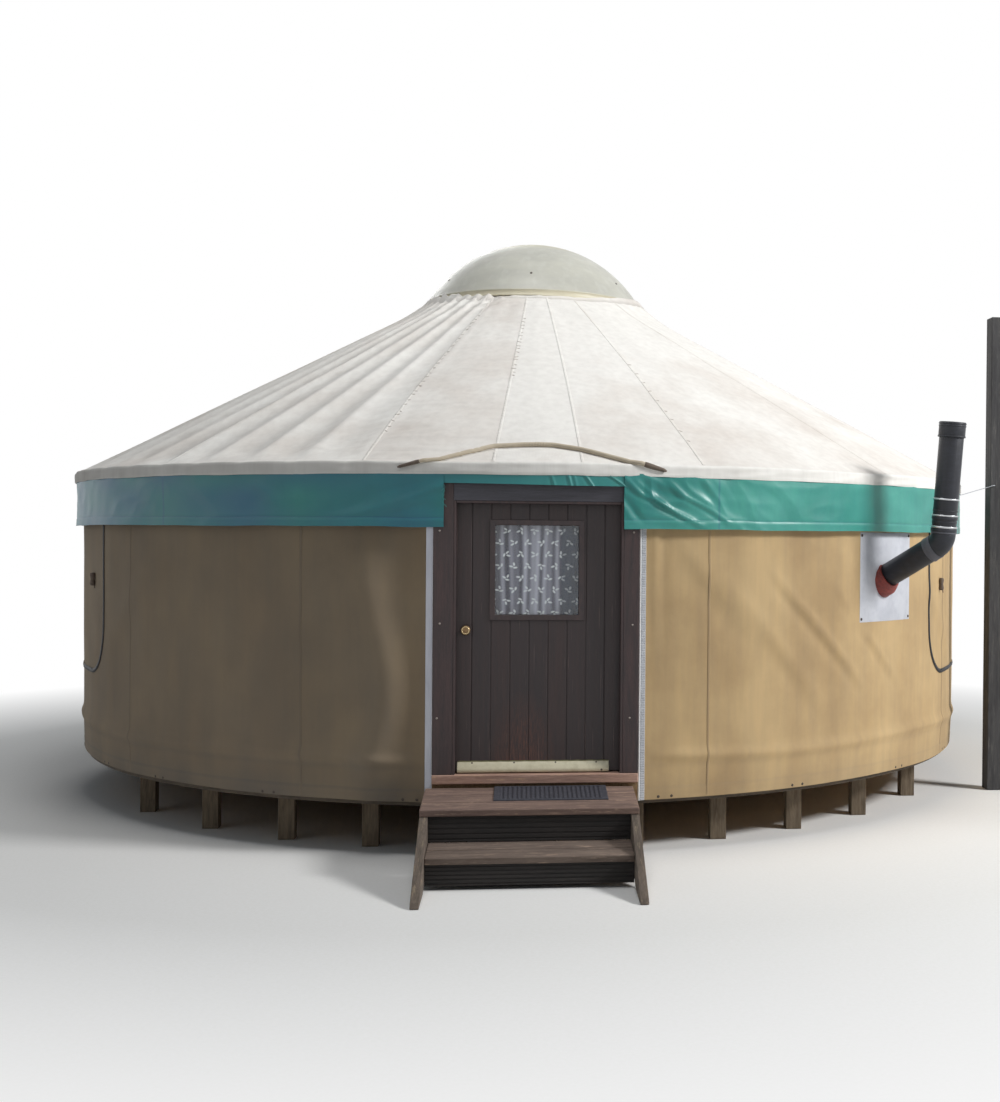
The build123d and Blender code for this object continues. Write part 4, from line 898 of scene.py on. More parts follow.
def wall_skin(degrees, share):
    """Radius and height of the wall cloth at a share of its length from the top.

    Straight down to the deck, a soft ridge where it passes the deck's edge, then in and under to the hem.
    """
    low = hem_height(degrees)
    height = wall_top + (low - wall_top) * share
    ridge = 0.520 + 0.010 * np.sin(np.radians(degrees) * 9)
    under = np.clip((ridge - height) / (ridge - low), 0, 1)
    near = signed(degrees)
    clear = ramp(np.abs(near), 11.2, 3)
    radius = wall_radius + 0.015 * clear * bump_at(height, ridge, 0.034) - 0.010 * under**1.4
    return radius + wall_relief(degrees, height) * (1 - 0.75 * under), height


def wall_shade(degrees):
    """Painted shade: grey on the side away from the key lamp, none on the right."""
    return 0.72 * np.clip(-np.sin(np.radians(degrees)) * 4.0, 0, 1)


def make_wall_cloth():
    """One skin round the house from jamb to jamb, with a doubled hem along its lower edge."""
    degrees = np.linspace(door_side - 0.1, 360 - door_side + 0.1, 720)
    share = np.concatenate([np.linspace(0, 0.80, 72, endpoint=False), np.linspace(0.80, 1.0, 44)])[:, None]
    radius, height = wall_skin(degrees, share)
    radius = radius + 0.0016 * (share > 0.965)
    points = polar(radius, degrees, height)
    uv = together(np.radians(degrees) * wall_radius, height)
    mesh = surface("wall_cloth", points, uv=uv, inside=(0, 0, 1.2))
    around = (degrees / 360) % 1
    bands = 0.28 * soft_noise(around, 0, 75, 1, 51) + 0.16 * soft_noise(around, 0, 190, 1, 55)
    cloudy = 0.18 * soft_noise(around, share, 60, 4, 52)
    # Painted shade: the wall's tone darker on the left side.
    left = 0.35 * np.clip(-np.sin(np.radians(degrees)), 0, 1)
    # Painted shade: darker towards the foot, where the skirt turns in under the deck.
    foot = 0.22 * ramp(height, 0.46, -0.15) * (0.6 + 0.4 * soft_noise(around, 0, 80, 1, 53))
    # Painted shade: a dark band under the ridge at the deck's edge and a dark line at the step of the
    # doubled hem.
    painted_crease_shade = 0.07 * bump_at(height, 0.475, 0.02) + 0.25 * bump_at(share, 0.965, 0.002)
    speckled = 0.05 * soft_noise(around, share, 200, 9, 54)
    dirt_and_shade = np.clip(foot + painted_crease_shade + wall_shade(degrees) + speckled, 0, 1)
    paint(mesh, bands + cloudy + left, dirt_and_shade, height.shape)
    return piece("wall_cloth", mesh, wall_canvas, wall_nodes)


def make_wall_seams():
    """Upright seams of the wall cloth: a raised lap, darker along its edges."""
    meshes = []
    for azimuth in (17.7, 60.5, 90, 114, 138, 162, 186, 210, 234, 258, 282, 310, 336):
        share = np.linspace(0.0, 0.995, 160)[:, None]
        widths = np.array([-1, -0.9, -0.3, 0.3, 0.9, 1]) * 0.008
        degrees = azimuth + np.degrees(widths / wall_radius)
        radius, height = wall_skin(degrees, share)
        lift = np.array([-0.6, 1, 1, 1, 1, -0.6]) * 0.0016
        points = polar(radius + lift, degrees, height)
        uv = together(np.radians(degrees) * wall_radius, height)
        mesh = surface("wall_seam", points, uv=uv, inside=(0, 0, 1.2))
        lap = np.array([0.5, 0.1, 0.2, 0.2, 0.1, 0.5]) * (1 - wall_shade(azimuth))
        paint(mesh, 0.5, wall_shade(degrees) + lap, height.shape)
        meshes.append(mesh)
    return piece("wall_seams", meshes, wall_canvas)


def on_wall(degrees, height, out):
    """Points on the wall cloth at azimuths and heights, a distance outside it."""
    share = (height - wall_top) / (hem_height(degrees) - wall_top)
    radius, level = wall_skin(degrees, share)
    return polar(radius + out, degrees, level)


def make_window_zips():
    """Zips of the two side window flaps: down one side, along the sill, up the other, a toggle on each."""
    tapes = []
    sliders = []
    for side, low_az, high_az in ((-1, 57.8, 84.0), (1, 54.6, 81.0)):
        corner = 0.30
        sill = 0.85
        turn = np.linspace(0, math.pi / 2, 26)
        reach = corner * math.degrees(1 / wall_radius)
        down = np.linspace(2.05, sill + corner, 90)
        low_line = np.linspace(low_az + reach, high_az - reach, 90)
        azimuth = np.concatenate([
            np.full(90, low_az),
            low_az + reach * (1 - np.cos(turn)),
            low_line,
            high_az - reach * (1 - np.sin(turn)),
            np.full(90, high_az),
        ])
        height = np.concatenate([
            down,
            sill + corner * (1 - np.sin(turn)),
            np.full(90, sill),
            sill + corner * (1 - np.cos(turn)),
            down[::-1],
        ])
        line = on_wall(side * azimuth % 360, height, 0.0035)
        tapes.append(ribbon("zip_tape", line, 0.014, 0.0026))
        pull = on_wall(np.array([side * (low_az + 4.2) % 360]), np.array([1.436]), 0.015)[0]
        sliders.append(toggle(pull))
    piece("window_zips", tapes, zip_tape)
    piece("window_toggles", sliders, end_cap)


def ribbon(name, line, half_width, thickness):
    """A flat band along a line on the wall, with a raised row down its middle."""
    ahead = np.gradient(line, axis=0)
    ahead /= np.linalg.norm(ahead, axis=1, keepdims=True)
    out = line * np.array([1, 1, 0])
    out /= np.linalg.norm(out, axis=1, keepdims=True)
    side = np.cross(ahead, out)
    widths = np.array([-1, -0.95, -0.3, -0.22, 0.22, 0.3, 0.95, 1, 0.95, -0.95])
    rises = np.array([-0.3, 0.3, 0.3, 1.0, 1.0, 0.3, 0.3, -0.3, -0.6, -0.6])
    points = (
        line[:, None, :]
        + side[:, None, :] * (widths * half_width)[None, :, None]
        + out[:, None, :] * (rises * thickness)[None, :, None]
    )
    return tidy(surface(name, points, wrap_columns=True, inside=(0, 0, 1.2)), 1e-6)


def toggle(place):
    """A turned wooden toggle on a short loop: a barrel waisted at the middle, with its cord tail."""
    half = [(0.012, 0), (0.017, 0.026), (0.013, 0.040), (0.0, 0.042)]
    profile = [(r, -z) for r, z in half[:0:-1]] + half
    barrel = lathe("toggle", profile, place, (0, 0, 1), 14, wrap=False)
    line = place + np.array([[0.004, 0, -0.028], [0.010, 0, -0.042], [0.012, 0, -0.058]])
    tail = tube("toggle_tail", line, 0.003, 8)
    return joined("toggle", [barrel, tail])


def make_eyelets():
    """Pairs of fixings along the hem of the wall cloth."""
    pairs = [-28.58, -27.22, -13.09, -11.67, 12.39, 13.8, 28.19, 29.57, 45.9, 47.35]
    for middle in (63, 79, 95, 111, 127, 143, 159, 175, 191, 207, 223, 239, 255, 271, 287, 303, 316):
        pairs += [middle - 0.7, middle + 0.7]
    degrees = np.array(pairs) % 360
    places = on_wall(degrees, np.full(len(pairs), 0.304), 0.001)
    directions = polar(np.ones(len(pairs)), degrees, np.zeros(len(pairs)))
    screws("hem_eyelets", places, directions, 0.009, dark_eyelets)


# Valance
def valance_relief(degrees, down):
    """Folds of the weather strip: broad soft ones all round, sharp drag folds from the corners at the door.

    Each sharp fold follows a curve of azimuths over its height: a narrow ridge with a hollow beside it.
    """
    around = (degrees / 360) % 1
    near = signed(degrees)
    shaded = np.clip(-near / 20, 0, 1)
    soft = (0.0046 + 0.003 * shaded) * soft_noise(around, down * 0.8, 66, 2, 61)
    soft = soft * np.clip(down * 2.2, 0.15, 1)
    bent = 1 - 2 * np.abs(soft_noise((around + 0.01 * down) % 1, down, 84, 3, 70))
    soft = soft + 0.0022 * bent
    fine = 0.0014 * soft_noise(around + down * 0.006, down, 230, 3, 62)
    folds = 0.0
    for levels, azimuths, depth, width in (
        ((0.05, 0.37, 0.67, 0.95), (8.5, 10.4, 13.8, 16.3), 0.010, 0.26),
        ((0.12, 0.41, 0.66, 0.88), (13.1, 14.7, 17.6, 19.4), 0.009, 0.24),
        ((0.10, 0.42, 0.62), (11.2, 11.4, 13.3), 0.007, 0.22),
        ((0.35, 0.53, 0.85), (8.45, 8.9, 10.2), -0.008, 0.26),
        ((0.08, 0.40, 0.72), (16.4, 18.0, 19.1), 0.006, 0.24),
        ((0.10, 0.45, 0.85), (9.6, 11.9, 14.9), 0.006, 0.18),
        ((0.06, 0.50, 0.85), (20.0, 21.6, 22.4), 0.004, 0.4),
        ((0.10, 0.50, 0.85), (24.5, 27.5, 28.8), 0.0035, 0.6),
        ((0.10, 0.55, 0.85), (33.0, 31.5, 30.8), 0.003, 0.6),
        ((0.20, 0.60, 0.95), (43.5, 41.5, 38.5), 0.003, 0.7),
        ((0.18, 0.59, 0.80), (-9.0, -14.1, -17.5), 0.010, 1.0),
        ((0.22, 0.49, 0.74), (-9.0, -12.4, -13.8), 0.005, 0.4),
        ((0.20, 0.40, 0.60), (-28.9, -27.4, -26.8), 0.005, 0.5),
        ((0.25, 0.60, 0.85), (-36.1, -34.5, -33.0), 0.003, 0.7),
        ((0.25, 0.60, 0.90), (-43.3, -45.0, -46.5), 0.004, 0.8),
    ):
        line = np.interp(down, levels, azimuths)
        ends = ramp(down - levels[0], -0.06, 0.14) * ramp(levels[-1] - down, -0.06, 0.14)
        line = line + 0.35 * soft_noise(around, down, 90, 3, 65)
        folds = folds + depth * ends * np.clip(1 - np.abs(near - line) / (3.2 * width), 0, 1) ** 1.3
        beside = np.clip(1 - np.abs(near - line + 3.4 * width) / (2.6 * width), 0, 1)
        folds = folds - 0.4 * depth * ends * beside
    corner = ramp(near, 8, 2) * ramp(near, 26, -8)
    creased = 1 - 2 * np.abs(soft_noise((around - 0.022 * down) % 1, down, 150, 3, 69))
    return soft + fine + folds + 0.0062 * corner * creased


def make_valance():
    """The weather strip that hangs from the eave, with a stitched hem, cut back at the door."""
    front = np.linspace(8.4, 32, 250)
    degrees = np.concatenate([front, np.linspace(32.25, 300, 620), np.linspace(300.2, 360 - 8.97, 300)])
    hem_rows = [0.82, 0.835, 0.85, 0.9, 0.95, 0.985, 1.0]
    down = np.concatenate([np.linspace(0, 0.82, 22, endpoint=False), hem_rows])[:, None]
    around = degrees / 360
    bottom = 1.777 + 0.003 * soft_noise(around, 0, 90, 1, 66)
    height = valance_top + (bottom - valance_top) * down
    hem = 0.0022 * (down > 0.84) - 0.0014 * bump_at(down, 0.835, 0.006)
    points = polar(3.1985 + hem + valance_relief(degrees, down), degrees, height)
    uv = together(np.radians(degrees) * plan_radius, height)
    mesh = surface("valance_cloth", points, uv=uv, inside=(0, 0, 1.9))
    near = signed(degrees)
    faded = 0.25 * soft_noise(around, down, 90, 3, 63) + 0.25 * bump_at(down, 0.0, 0.12)
    edge_wear = 0.3 * (soft_noise(around, 0, 400, 1, 67) > 0.3) * bump_at(down, 0.84, 0.02)
    # Painted shade: the strip darker and bluer on the side away from the key lamp, and the rain noise below
    # gives that painted shade its patches.
    shaded = ramp(near, 20, -40) * ramp(near, -190, 60)
    tone = faded + 0.12 * (down > 0.84) + edge_wear - 0.5 * shaded
    stitches = 0.35 * bump_at(down, 0.838, 0.006)
    seams = 0.0
    for azimuth in (18.3, 42, 66, 90, 114, 138, 162, 186, 210, 234, 258, 282, 318):
        seams = seams + 0.55 * bump_at(degrees, azimuth, 0.10)
    rain = 0.45 * soft_noise(around, down, 60, 2, 68) * shaded
    paint(mesh, tone, np.clip(stitches + seams + 0.62 * shaded + rain, 0, 1), height.shape)
    return piece("valance_cloth", mesh, valance_sheet, ("valance",))


def make_door_strip():
    """The narrow strip over the door, drawn into pleats towards its right end."""
    degrees = np.linspace(-9.2, 8.7, 190)
    down = np.linspace(0, 1, 14)[:, None]
    low = np.interp(degrees, (-9.2, -7.4, 3.5, 8.7), (2.0135, 2.0135, 2.006, 2.006))
    height = valance_top + (low - valance_top) * down
    pleats = 0.0
    for start, lean, depth in (
        (1.2, 0.4, 0.004), (2.85, 0.35, 0.005), (3.4, 0.3, 0.003), (4.4, 0.9, 0.006), (6.6, 1.9, 0.007),
    ):
        pleats = pleats + depth * bump_at(degrees, start + lean * down, 0.13)
        pleats = pleats - 0.4 * depth * bump_at(degrees, start - 0.3 + lean * down, 0.16)
    wave = 0.0018 * soft_noise((degrees / 360) % 1, down * 0.9, 180, 2, 64)
    points = polar(3.1975 + pleats * np.clip(down * 4, 0, 1) + wave, degrees, height)
    uv = together(np.radians(degrees) * plan_radius, height)
    mesh = surface("valance_over_door", points, uv=uv, inside=(0, 0, 1.9))
    # Painted shade: darker towards the left end.
    paint(mesh, 0.15, np.interp(degrees, (-9, 8), (0.55, 0.25)), height.shape)
    return piece("valance_over_door", mesh, valance_sheet, ("valance",))


def make_frayed_ends():
    """Loose threads at the strip's cut end beside the door: thin curls that hang a few centimetres."""
    run = np.linspace(0, 1, 9)
    threads = []
    for index, (height, drop) in enumerate(((2.005, 0.035), (1.985, 0.05), (1.955, 0.03), (1.93, 0.045))):
        azimuth = -8.95 + 0.25 * np.sin(run * 5 + index) * run
        line = polar(plan_radius + 0.004 * run, azimuth, height - drop * run)
        threads.append(tube("loose_thread", line, 0.0011, 5))
    mesh = joined("frayed_threads", threads)
    paint(mesh, 1.0, 0.3)
    piece("frayed_threads", mesh, valance_sheet)


# Dome
def make_dome():
    """Blown dome: foot rim, short upright band and a cap of one sphere, with an inner face 5 mm inside."""
    low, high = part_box("dome")
    radius = high[0]
    thickness = 0.005
    base = low[2]
    spring = base + 0.046
    height = high[2] - spring
    ball = (radius**2 + height**2) / (2 * height)
    centre = spring + height - ball
    turn = np.linspace(math.asin(radius / ball), 0.0, 44)
    arc = together(np.sin(turn), np.cos(turn))
    outer = (0, centre) + ball * arc
    inner = (0, centre) + (ball - thickness) * arc[::-1]
    rim = np.array([
        (radius - thickness, base), (radius + 0.003, base), (radius + 0.0042, base + 0.002),
        (radius + 0.0042, base + 0.007), (radius + 0.001, base + 0.010), (radius + 0.001, spring - 0.008),
        (radius + 0.0035, spring - 0.005), (radius + 0.0035, spring - 0.001),
        (radius + 0.001, spring + 0.002),
    ])
    mesh = lathe("dome_shell", np.concatenate([rim, outer[1:], inner]), sides=144, wrap=True)
    piece("dome_shell", mesh, acrylic, ("dome",))
    degrees = np.arange(0, 360, 60.0) - 2.5
    level = spring + 0.130
    reach = math.sqrt(ball**2 - (level - centre) ** 2)
    places = polar(reach + 0.001, degrees, level)
    screws("dome_screws", places, places - np.array([0, 0, centre]), 0.009, dark_eyelets)


def make_dome_ruffle():
    """Edge of the roof cloth turned up against the dome's foot: a crumpled band, higher at both sides."""
    degrees = np.arange(0, 360, 1.0)
    near = signed(degrees)
    around = degrees / 360
    crumple = np.clip(soft_noise(around, 0, 80, 1, 71) + 0.4, 0, 1.4)
    left = bump_at(near, -52, 30)
    high = 0.007 + 0.016 * ramp(np.abs(near), 25, 45) + 0.018 * left * crumple
    share = np.array([0.0, 0.15, 0.5, 0.85, 1.0, 0.85, 0.3])[:, None]
    out = np.array([0.070, 0.045, 0.022, 0.012, 0.008, 0.005, 0.005])[:, None]
    radius = 0.800 + out + 0.004 * soft_noise(around, share, 110, 3, 72) * (share > 0.1)
    height = roof_height(radius, degrees) + share * high - 0.002 * (share < 0.05)
    uv = together(np.radians(np.arange(0, 361, 1.0)) * 0.8, share * 0.05)
    points = polar(radius, degrees, height)
    mesh = surface("dome_ruffle", points, wrap_columns=True, uv=uv, inside=(0, 0, 0))
    paint(mesh, -0.2 - 0.2 * left, 0.12 + 0.25 * (share < 0.2), radius.shape)
    return piece("dome_ruffle", mesh, roof_canvas)


# Rain deflector
def deflector_line(count):
    """Centre line of the padded roll: a soft bend over the door, then down across the lip at both ends."""
    radii = (3.2155, 3.2134, 3.181, 3.122, 3.039, 3.019, 3.016, 3.059, 3.116, 3.174, 3.2134, 3.2155)
    azimuths = (-13.4, -10.9, -9.3, -7.4, -4.46, -1.54, 1.63, 4.31, 6.4, 8.5, 10.0, 12.6)
    share = np.linspace(0, len(azimuths) - 1, count)
    whole = np.arange(len(azimuths))
    smooth = np.hanning(max(3, count // 26))
    smooth = smooth / smooth.sum()

    def eased(values):
        line = np.pad(np.interp(share, whole, values), len(smooth) // 2, mode="reflect", reflect_type="odd")
        return np.convolve(line, smooth, mode="valid")[:count]

    azimuth = eased(azimuths)
    radius = eased(radii)
    on_cloth = roof_height(np.minimum(radius, cone_end), azimuth) + 0.0125
    over_lip = ramp(radius, 3.181, 0.032)
    past_left = np.interp(azimuth, (-13.4, -10.9), (2.096, 2.1336))
    past_right = np.interp(azimuth, (10.0, 12.6), (2.1336, 2.092))
    height = on_cloth * (1 - over_lip) + np.where(azimuth < 0, past_left, past_right) * over_lip
    return polar(radius, azimuth, height), azimuth


def make_deflector():
    """A roll of canvas sewn on the roof to turn rain aside, puckered over the door, capped at both ends."""
    line, azimuth = deflector_line(320)
    puckered = bump_at(azimuth, 0.1, 1.3)
    strands = 1 + 0.20 * puckered * np.sin(azimuth * 22)
    radius = np.interp(azimuth, (-13, -6, 0, 12), (0.0085, 0.0120, 0.0130, 0.0120)) * strands
    mesh = tube("deflector_roll", line[18:-18], radius[18:-18], 18, twist=7.0)
    paint(mesh, 0.1, 0.10)
    piece("deflector_roll", mesh, rope_cloth, ("rain_deflector",))
    meshes = []
    for end, thick in ((line[:26], 0.0105), (line[::-1][:26], 0.0140)):
        bulge = np.interp(np.linspace(0, 1, 26), (0, 0.12, 0.6, 0.9, 1.0), (0.3, 0.75, 1.0, 1.08, 0.92))
        size = thick * bulge
        meshes.append(tube("deflector_cap", end, size, 16))
    piece("deflector_caps", meshes, end_cap, ("rain_deflector",))
    inner = line[30:-30]
    reach = np.hypot(inner[:, 0], inner[:, 1])
    along = azimuth[30:-30]
    wide = np.array([-0.034, -0.026, -0.015, 0.0, 0.012])[:, None]
    radius = np.minimum(reach + wide, 3.186)
    pucker = (0.0008 + 0.0012 * puckered[30:-30]) * np.sin(along * 13)
    height = roof_height(radius, along) + 0.0016 + pucker * np.array([0, 1, 0.4, 0, 0])[:, None]
    uv = together(np.radians(along) * 3.1, radius)
    mesh = surface("deflector_flange", polar(radius, along, height), uv=uv, inside=(0, 0, 0))
    paint(mesh, -0.2, np.array([0.15, 0.03, 0.0, 0.0, 0.1])[:, None], radius.shape)
    piece("deflector_flange", mesh, roof_canvas)


# Door
def make_door():
    """Door leaf, glass, beading, bar, knobs and curtain, all on the moving body."""
    timber("leaf_boards", "door_leaf", door_stain, 0.0022, "door")
    timber("window_frame", "door_window_beading", beading_stain, 0.003, "door")
    timber("window_pane", "door_glass", glass, 0.0006, "door")
    make_weather_bar()
    make_knobs()
    make_curtain()
    timber("curtain_rod", "door_curtain_rod", turned_brass, 0.0012, "door")
    timber("moving_hinges", "hinge_door_sides", galvanised, 0.0006, "door")


def make_weather_bar():
    """Sloping drip bar: a profile with an eased nose and a drip groove, carried along the door's foot.

    A dark bead of sealant lies along its upper edge. It has four screws and a plug hole near its right end.
    """
    low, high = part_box("door_weather_bar")
    back = -high[1]
    front = -low[1]
    base = low[2]
    top = high[2]
    profile = np.array([
        (back, base), (front - 0.010, base), (front - 0.009, base + 0.003), (front - 0.006, base + 0.003),
        (front - 0.005, base), (front - 0.002, base + 0.0005), (front, base + 0.003), (front, base + 0.016),
        (front - 0.0015, base + 0.020), (back + 0.004, top - 0.003), (back + 0.001, top - 0.0008),
        (back, top),
    ])
    x = np.array([low[0], low[0] + 0.0015, low[0] + 0.004, high[0] - 0.004, high[0] - 0.0015, high[0]])
    scale = np.array([0.94, 0.985, 1, 1, 0.985, 0.94])
    middle = profile.mean(0)
    rows = middle[None, None, :] + (profile - middle)[None] * scale[:, None, None]
    points = together(x[:, None], -rows[..., 0], rows[..., 1])
    ends = together(x[[0, -1]], -middle[0], middle[1])[:, None, :] + 0 * points[[0, -1]]
    mesh = surface("drip_bar", np.concatenate([ends[:1], points, ends[1:]]), wrap_columns=True)
    mesh = tidy(mesh, 1e-6)
    piece("drip_bar", mesh, cream_paint, ("door_weather_bar",), "door")
    x = np.linspace(low[0] + 0.002, high[0] - 0.002, 60)
    bead = together(x, -back - 0.0022, top - 0.0012 + 0.0006 * np.sin(x * 90))
    piece("bar_sealant", tube("bar_sealant", bead, 0.0030, 8), bar_edge, body="door")
    share = np.array([0.097, 0.373, 0.647, 0.917])
    places = together(low[0] + share * (high[0] - low[0]), -back - 0.0065, top - 0.0085)
    screws("bar_screws", places, [(0, -0.75, 0.66)] * 4, 0.0062, dark_eyelets, "door")
    mark = [(high[0] - 0.040, -front + 0.0005, base + 0.010)]
    screws("bar_plug", mark, [(0, -1, 0)], 0.0065, dark_eyelets, "door")


def make_knobs():
    """Turned knob on each face: beaded rose, neck, flattened ball, and a ring round its dished face, bright
    as a painted highlight.
    """
    low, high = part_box("door_knobs")
    middle_x = (low[0] + high[0]) / 2
    middle_z = (low[2] + high[2]) / 2
    profile = np.array([
        (0.0, 0.0), (0.0225, 0.0), (0.0225, 0.003), (0.0205, 0.005), (0.019, 0.0058), (0.012, 0.008),
        (0.0098, 0.011), (0.0092, 0.018), (0.0102, 0.022), (0.0165, 0.0245), (0.0235, 0.029),
        (0.0272, 0.035), (0.0270, 0.041), (0.0240, 0.046), (0.0205, 0.0482), (0.0150, 0.0470),
        (0.0115, 0.0485), (0.006, 0.0505), (0.0, 0.0510),
    ])
    ring = np.array([
        (0.0162, 0.0462), (0.0212, 0.0466), (0.0212, 0.0482), (0.0206, 0.0494), (0.0192, 0.0502),
        (0.0176, 0.0497), (0.0164, 0.0484),
    ])
    bodies = []
    rings = []
    for face, side in ((-3.078, -1), (-3.034, 1)):
        place = (middle_x, face, middle_z)
        bodies.append(lathe("turned_knob", profile, place, (0, side, 0), 40, wrap=False))
        rings.append(lathe("highlight_ring", ring, place, (0, side, 0), 40, wrap=True))
    piece("turned_knobs", bodies, turned_brass, ("door_knobs",), "door")
    # The ring's bright brass is a painted highlight.
    piece("highlight_rings", rings, highlight_brass, ("door_knobs",), "door")


def make_curtain():
    """Voile gathered on a rod: folds are a sum of waves across it that wander and open towards the hem.

    A fold is pale on the side that faces the light and dark in its hollow; the right quarter is doubled.
    """
    low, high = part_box("door_curtain")
    across = np.linspace(0, 1, 320)
    down = np.linspace(0, 1, 60)[:, None]
    x = low[0] + 0.004 + (high[0] - low[0] - 0.008) * across
    height = high[2] + (low[2] - high[2]) * down
    middle = (low[1] + high[1]) / 2
    wander = across + 0.012 * np.sin(down * 3.1 + 9 * across)
    phase = wander * 2 * math.pi
    waves = np.sin(8 * phase + 0.5) * 0.55 + np.sin(13 * phase + 1.9) * 0.3 + np.sin(5 * phase) * 0.25
    open_out = 0.55 + 0.45 * down
    gather = 0.0012 * np.sin(phase * 60) * np.exp(-down * 18)
    deepest = 0.0064
    y = middle + np.clip(0.0058 * open_out * waves + gather, -deepest, deepest)
    points = together(x, y, height)
    length = np.concatenate([[0], np.cumsum(np.hypot(np.diff(x), np.diff(y[30])))])
    uv = together(length, height)
    mesh = surface("door_voile", points, uv=uv, inside=(0, 0, 1.5))
    facing = np.cos(8 * phase + 0.5) * 0.5 + np.cos(13 * phase + 1.9) * 0.35
    front = -(y - middle) / deepest
    broad_light = 0.35 * bump_at(across, 0.47, 0.10) + 0.25 * bump_at(across, 0.64, 0.04)
    tone = np.clip(0.25 + 0.42 * facing + 0.25 * front + broad_light, 0, 1) ** 1.2
    paint(mesh, tone, ramp(across, 0.76, 0.03) * 0.92, y.shape)
    made = piece("door_voile", mesh, voile, ("door_curtain",), "door")


def make_frame():
    """Door frame and stops of dark stained timber, the worn sill, a screw at three heights in each post."""
    for source in ("door_jamb_left", "door_jamb_right", "door_stops"):
        timber("stained_" + source, source, frame_stain, 0.003)
    # The header's slate is painted shade over the frame's stain.
    timber("shaded_stained_door_header", "door_header", header_stain_and_shade, 0.003)
    timber("worn_sill_board", "door_sill", worn_sill, 0.006)
    timber("fixed_hinges", "hinge_frame_sides", galvanised, 0.0006)
    x = np.array([-0.521, -0.518, -0.530, 0.523, 0.519, 0.507])
    height = np.array([1.758, 1.259, 0.751, 1.758, 1.254, 0.747])
    places = together(x, -3.1385, height)
    screws("frame_screws", places, [(0, -1, 0)] * len(places), 0.0062, screw_steel)


def beside_door(azimuth):
    """Directions straight out of the wall, along it to the right, and up, at an azimuth."""
    angle = math.radians(azimuth)
    out = np.array([math.sin(angle), -math.cos(angle), 0])
    across = np.array([math.cos(angle), math.sin(angle), 0])
    return out, across, np.array([0, 0, 1])


def make_edge_strips():
    """Strips beside the door: a plain one with a thin white line on the left, a ribbed one on the right."""
    low, high = 0.290, 1.99
    plain = [
        (-0.020, 0), (-0.020, 0.006), (-0.0185, 0.0085), (0.012, 0.0085), (0.0135, 0.0105), (0.019, 0.0105),
        (0.0205, 0.008), (0.0205, 0),
    ]
    ribbed = [
        (-0.020, 0), (-0.020, 0.007), (-0.015, 0.0112), (-0.009, 0.0112), (-0.005, 0.006), (-0.003, 0.0085),
        (0.018, 0.0085), (0.0205, 0.006), (0.0205, 0),
    ]
    strip_azimuth = 10.49
    for side, material, outline in ((-1, strip_metal, plain), (1, ribbed_strip, ribbed)):
        out, across, up = beside_door(side * strip_azimuth)
        foot = out * 3.1505
        heights = np.linspace(low, high, 2 if side < 0 else 900)
        width, proud = np.array(outline).T
        ribs = np.zeros((len(heights), 1))
        if side > 0:
            ribs = -0.0022 * np.clip(np.sin(heights * 2 * math.pi / 0.013) * 2 - 1, 0, 1)[:, None]
        lift = proud + ribs * (width > -0.004) * (proud > 0.004)
        points = foot + across * width[:, None] + out * lift[..., None] + up * heights[:, None, None]
        ends = foot + out * 0.004 + up * heights[[0, -1], None, None] + 0 * points[[0, -1]]
        mesh = surface("edge_strip", np.concatenate([ends[:1], points, ends[1:]]), wrap_columns=True)
        mesh = tidy(mesh, 1e-6)
        mesh.polygons.foreach_set("use_smooth", np.zeros(len(mesh.polygons), dtype=bool))
        name = "plain_edge_strip" if side < 0 else "ribbed_edge_strip"
        piece(name, mesh, material, ("edge_battens",))
    lines = []
    for side, shift, radius in ((1, -0.0135, 0.0052), (-1, 0.0195, 0.0026)):
        out, across, up = beside_door(side * strip_azimuth)
        line = out * 3.159 + across * shift + up * np.linspace(0.292, 1.988, 60)[:, None]
        lines.append(tube("white_piping", line, radius, 12))
    piece("white_piping", lines, white_piping, ("edge_battens",))
    make_piping_tail()


def make_piping_tail():
    """A narrow tail of cloth left over at the foot of the right strip: it hangs 50 mm and curls out."""
    down = np.linspace(0, 1, 14)[:, None]
    wide = np.linspace(-1, 1, 5) * 0.007
    out, across, up = beside_door(10.0)
    lift = 3.157 + 0.006 * down**2
    spread = wide * (1 - 0.35 * down) + 0.004 * np.sin(down * 4)
    level = 0.300 - 0.055 * down
    points = out * lift[..., None] + across * spread[..., None] + up * level[..., None]
    uv = together(spread, level)
    mesh = surface("piping_tail", points, uv=uv, inside=(0, 0, 0.3))
    paint(mesh, 0.0, 0.2 + 0.2 * down, spread.shape)
    piece("piping_tail", mesh, rope_cloth)


# Steps
def make_steps():
    """Landing, treads, grooved risers and cheeks of worn decking, and the rubber mat."""
    timber("landing_planks", "landing_boards", landing_timber, 0.005)
    timber("tread_planks", "tread_boards", step_timber, 0.005)
    timber("grooved_risers", "riser_boards", riser_timber, 0.0012)
    timber("step_cheeks", "step_stringers", cheek_timber, 0.005)
    timber("step_props", "step_legs", cheek_timber, 0.003)
    make_mat()


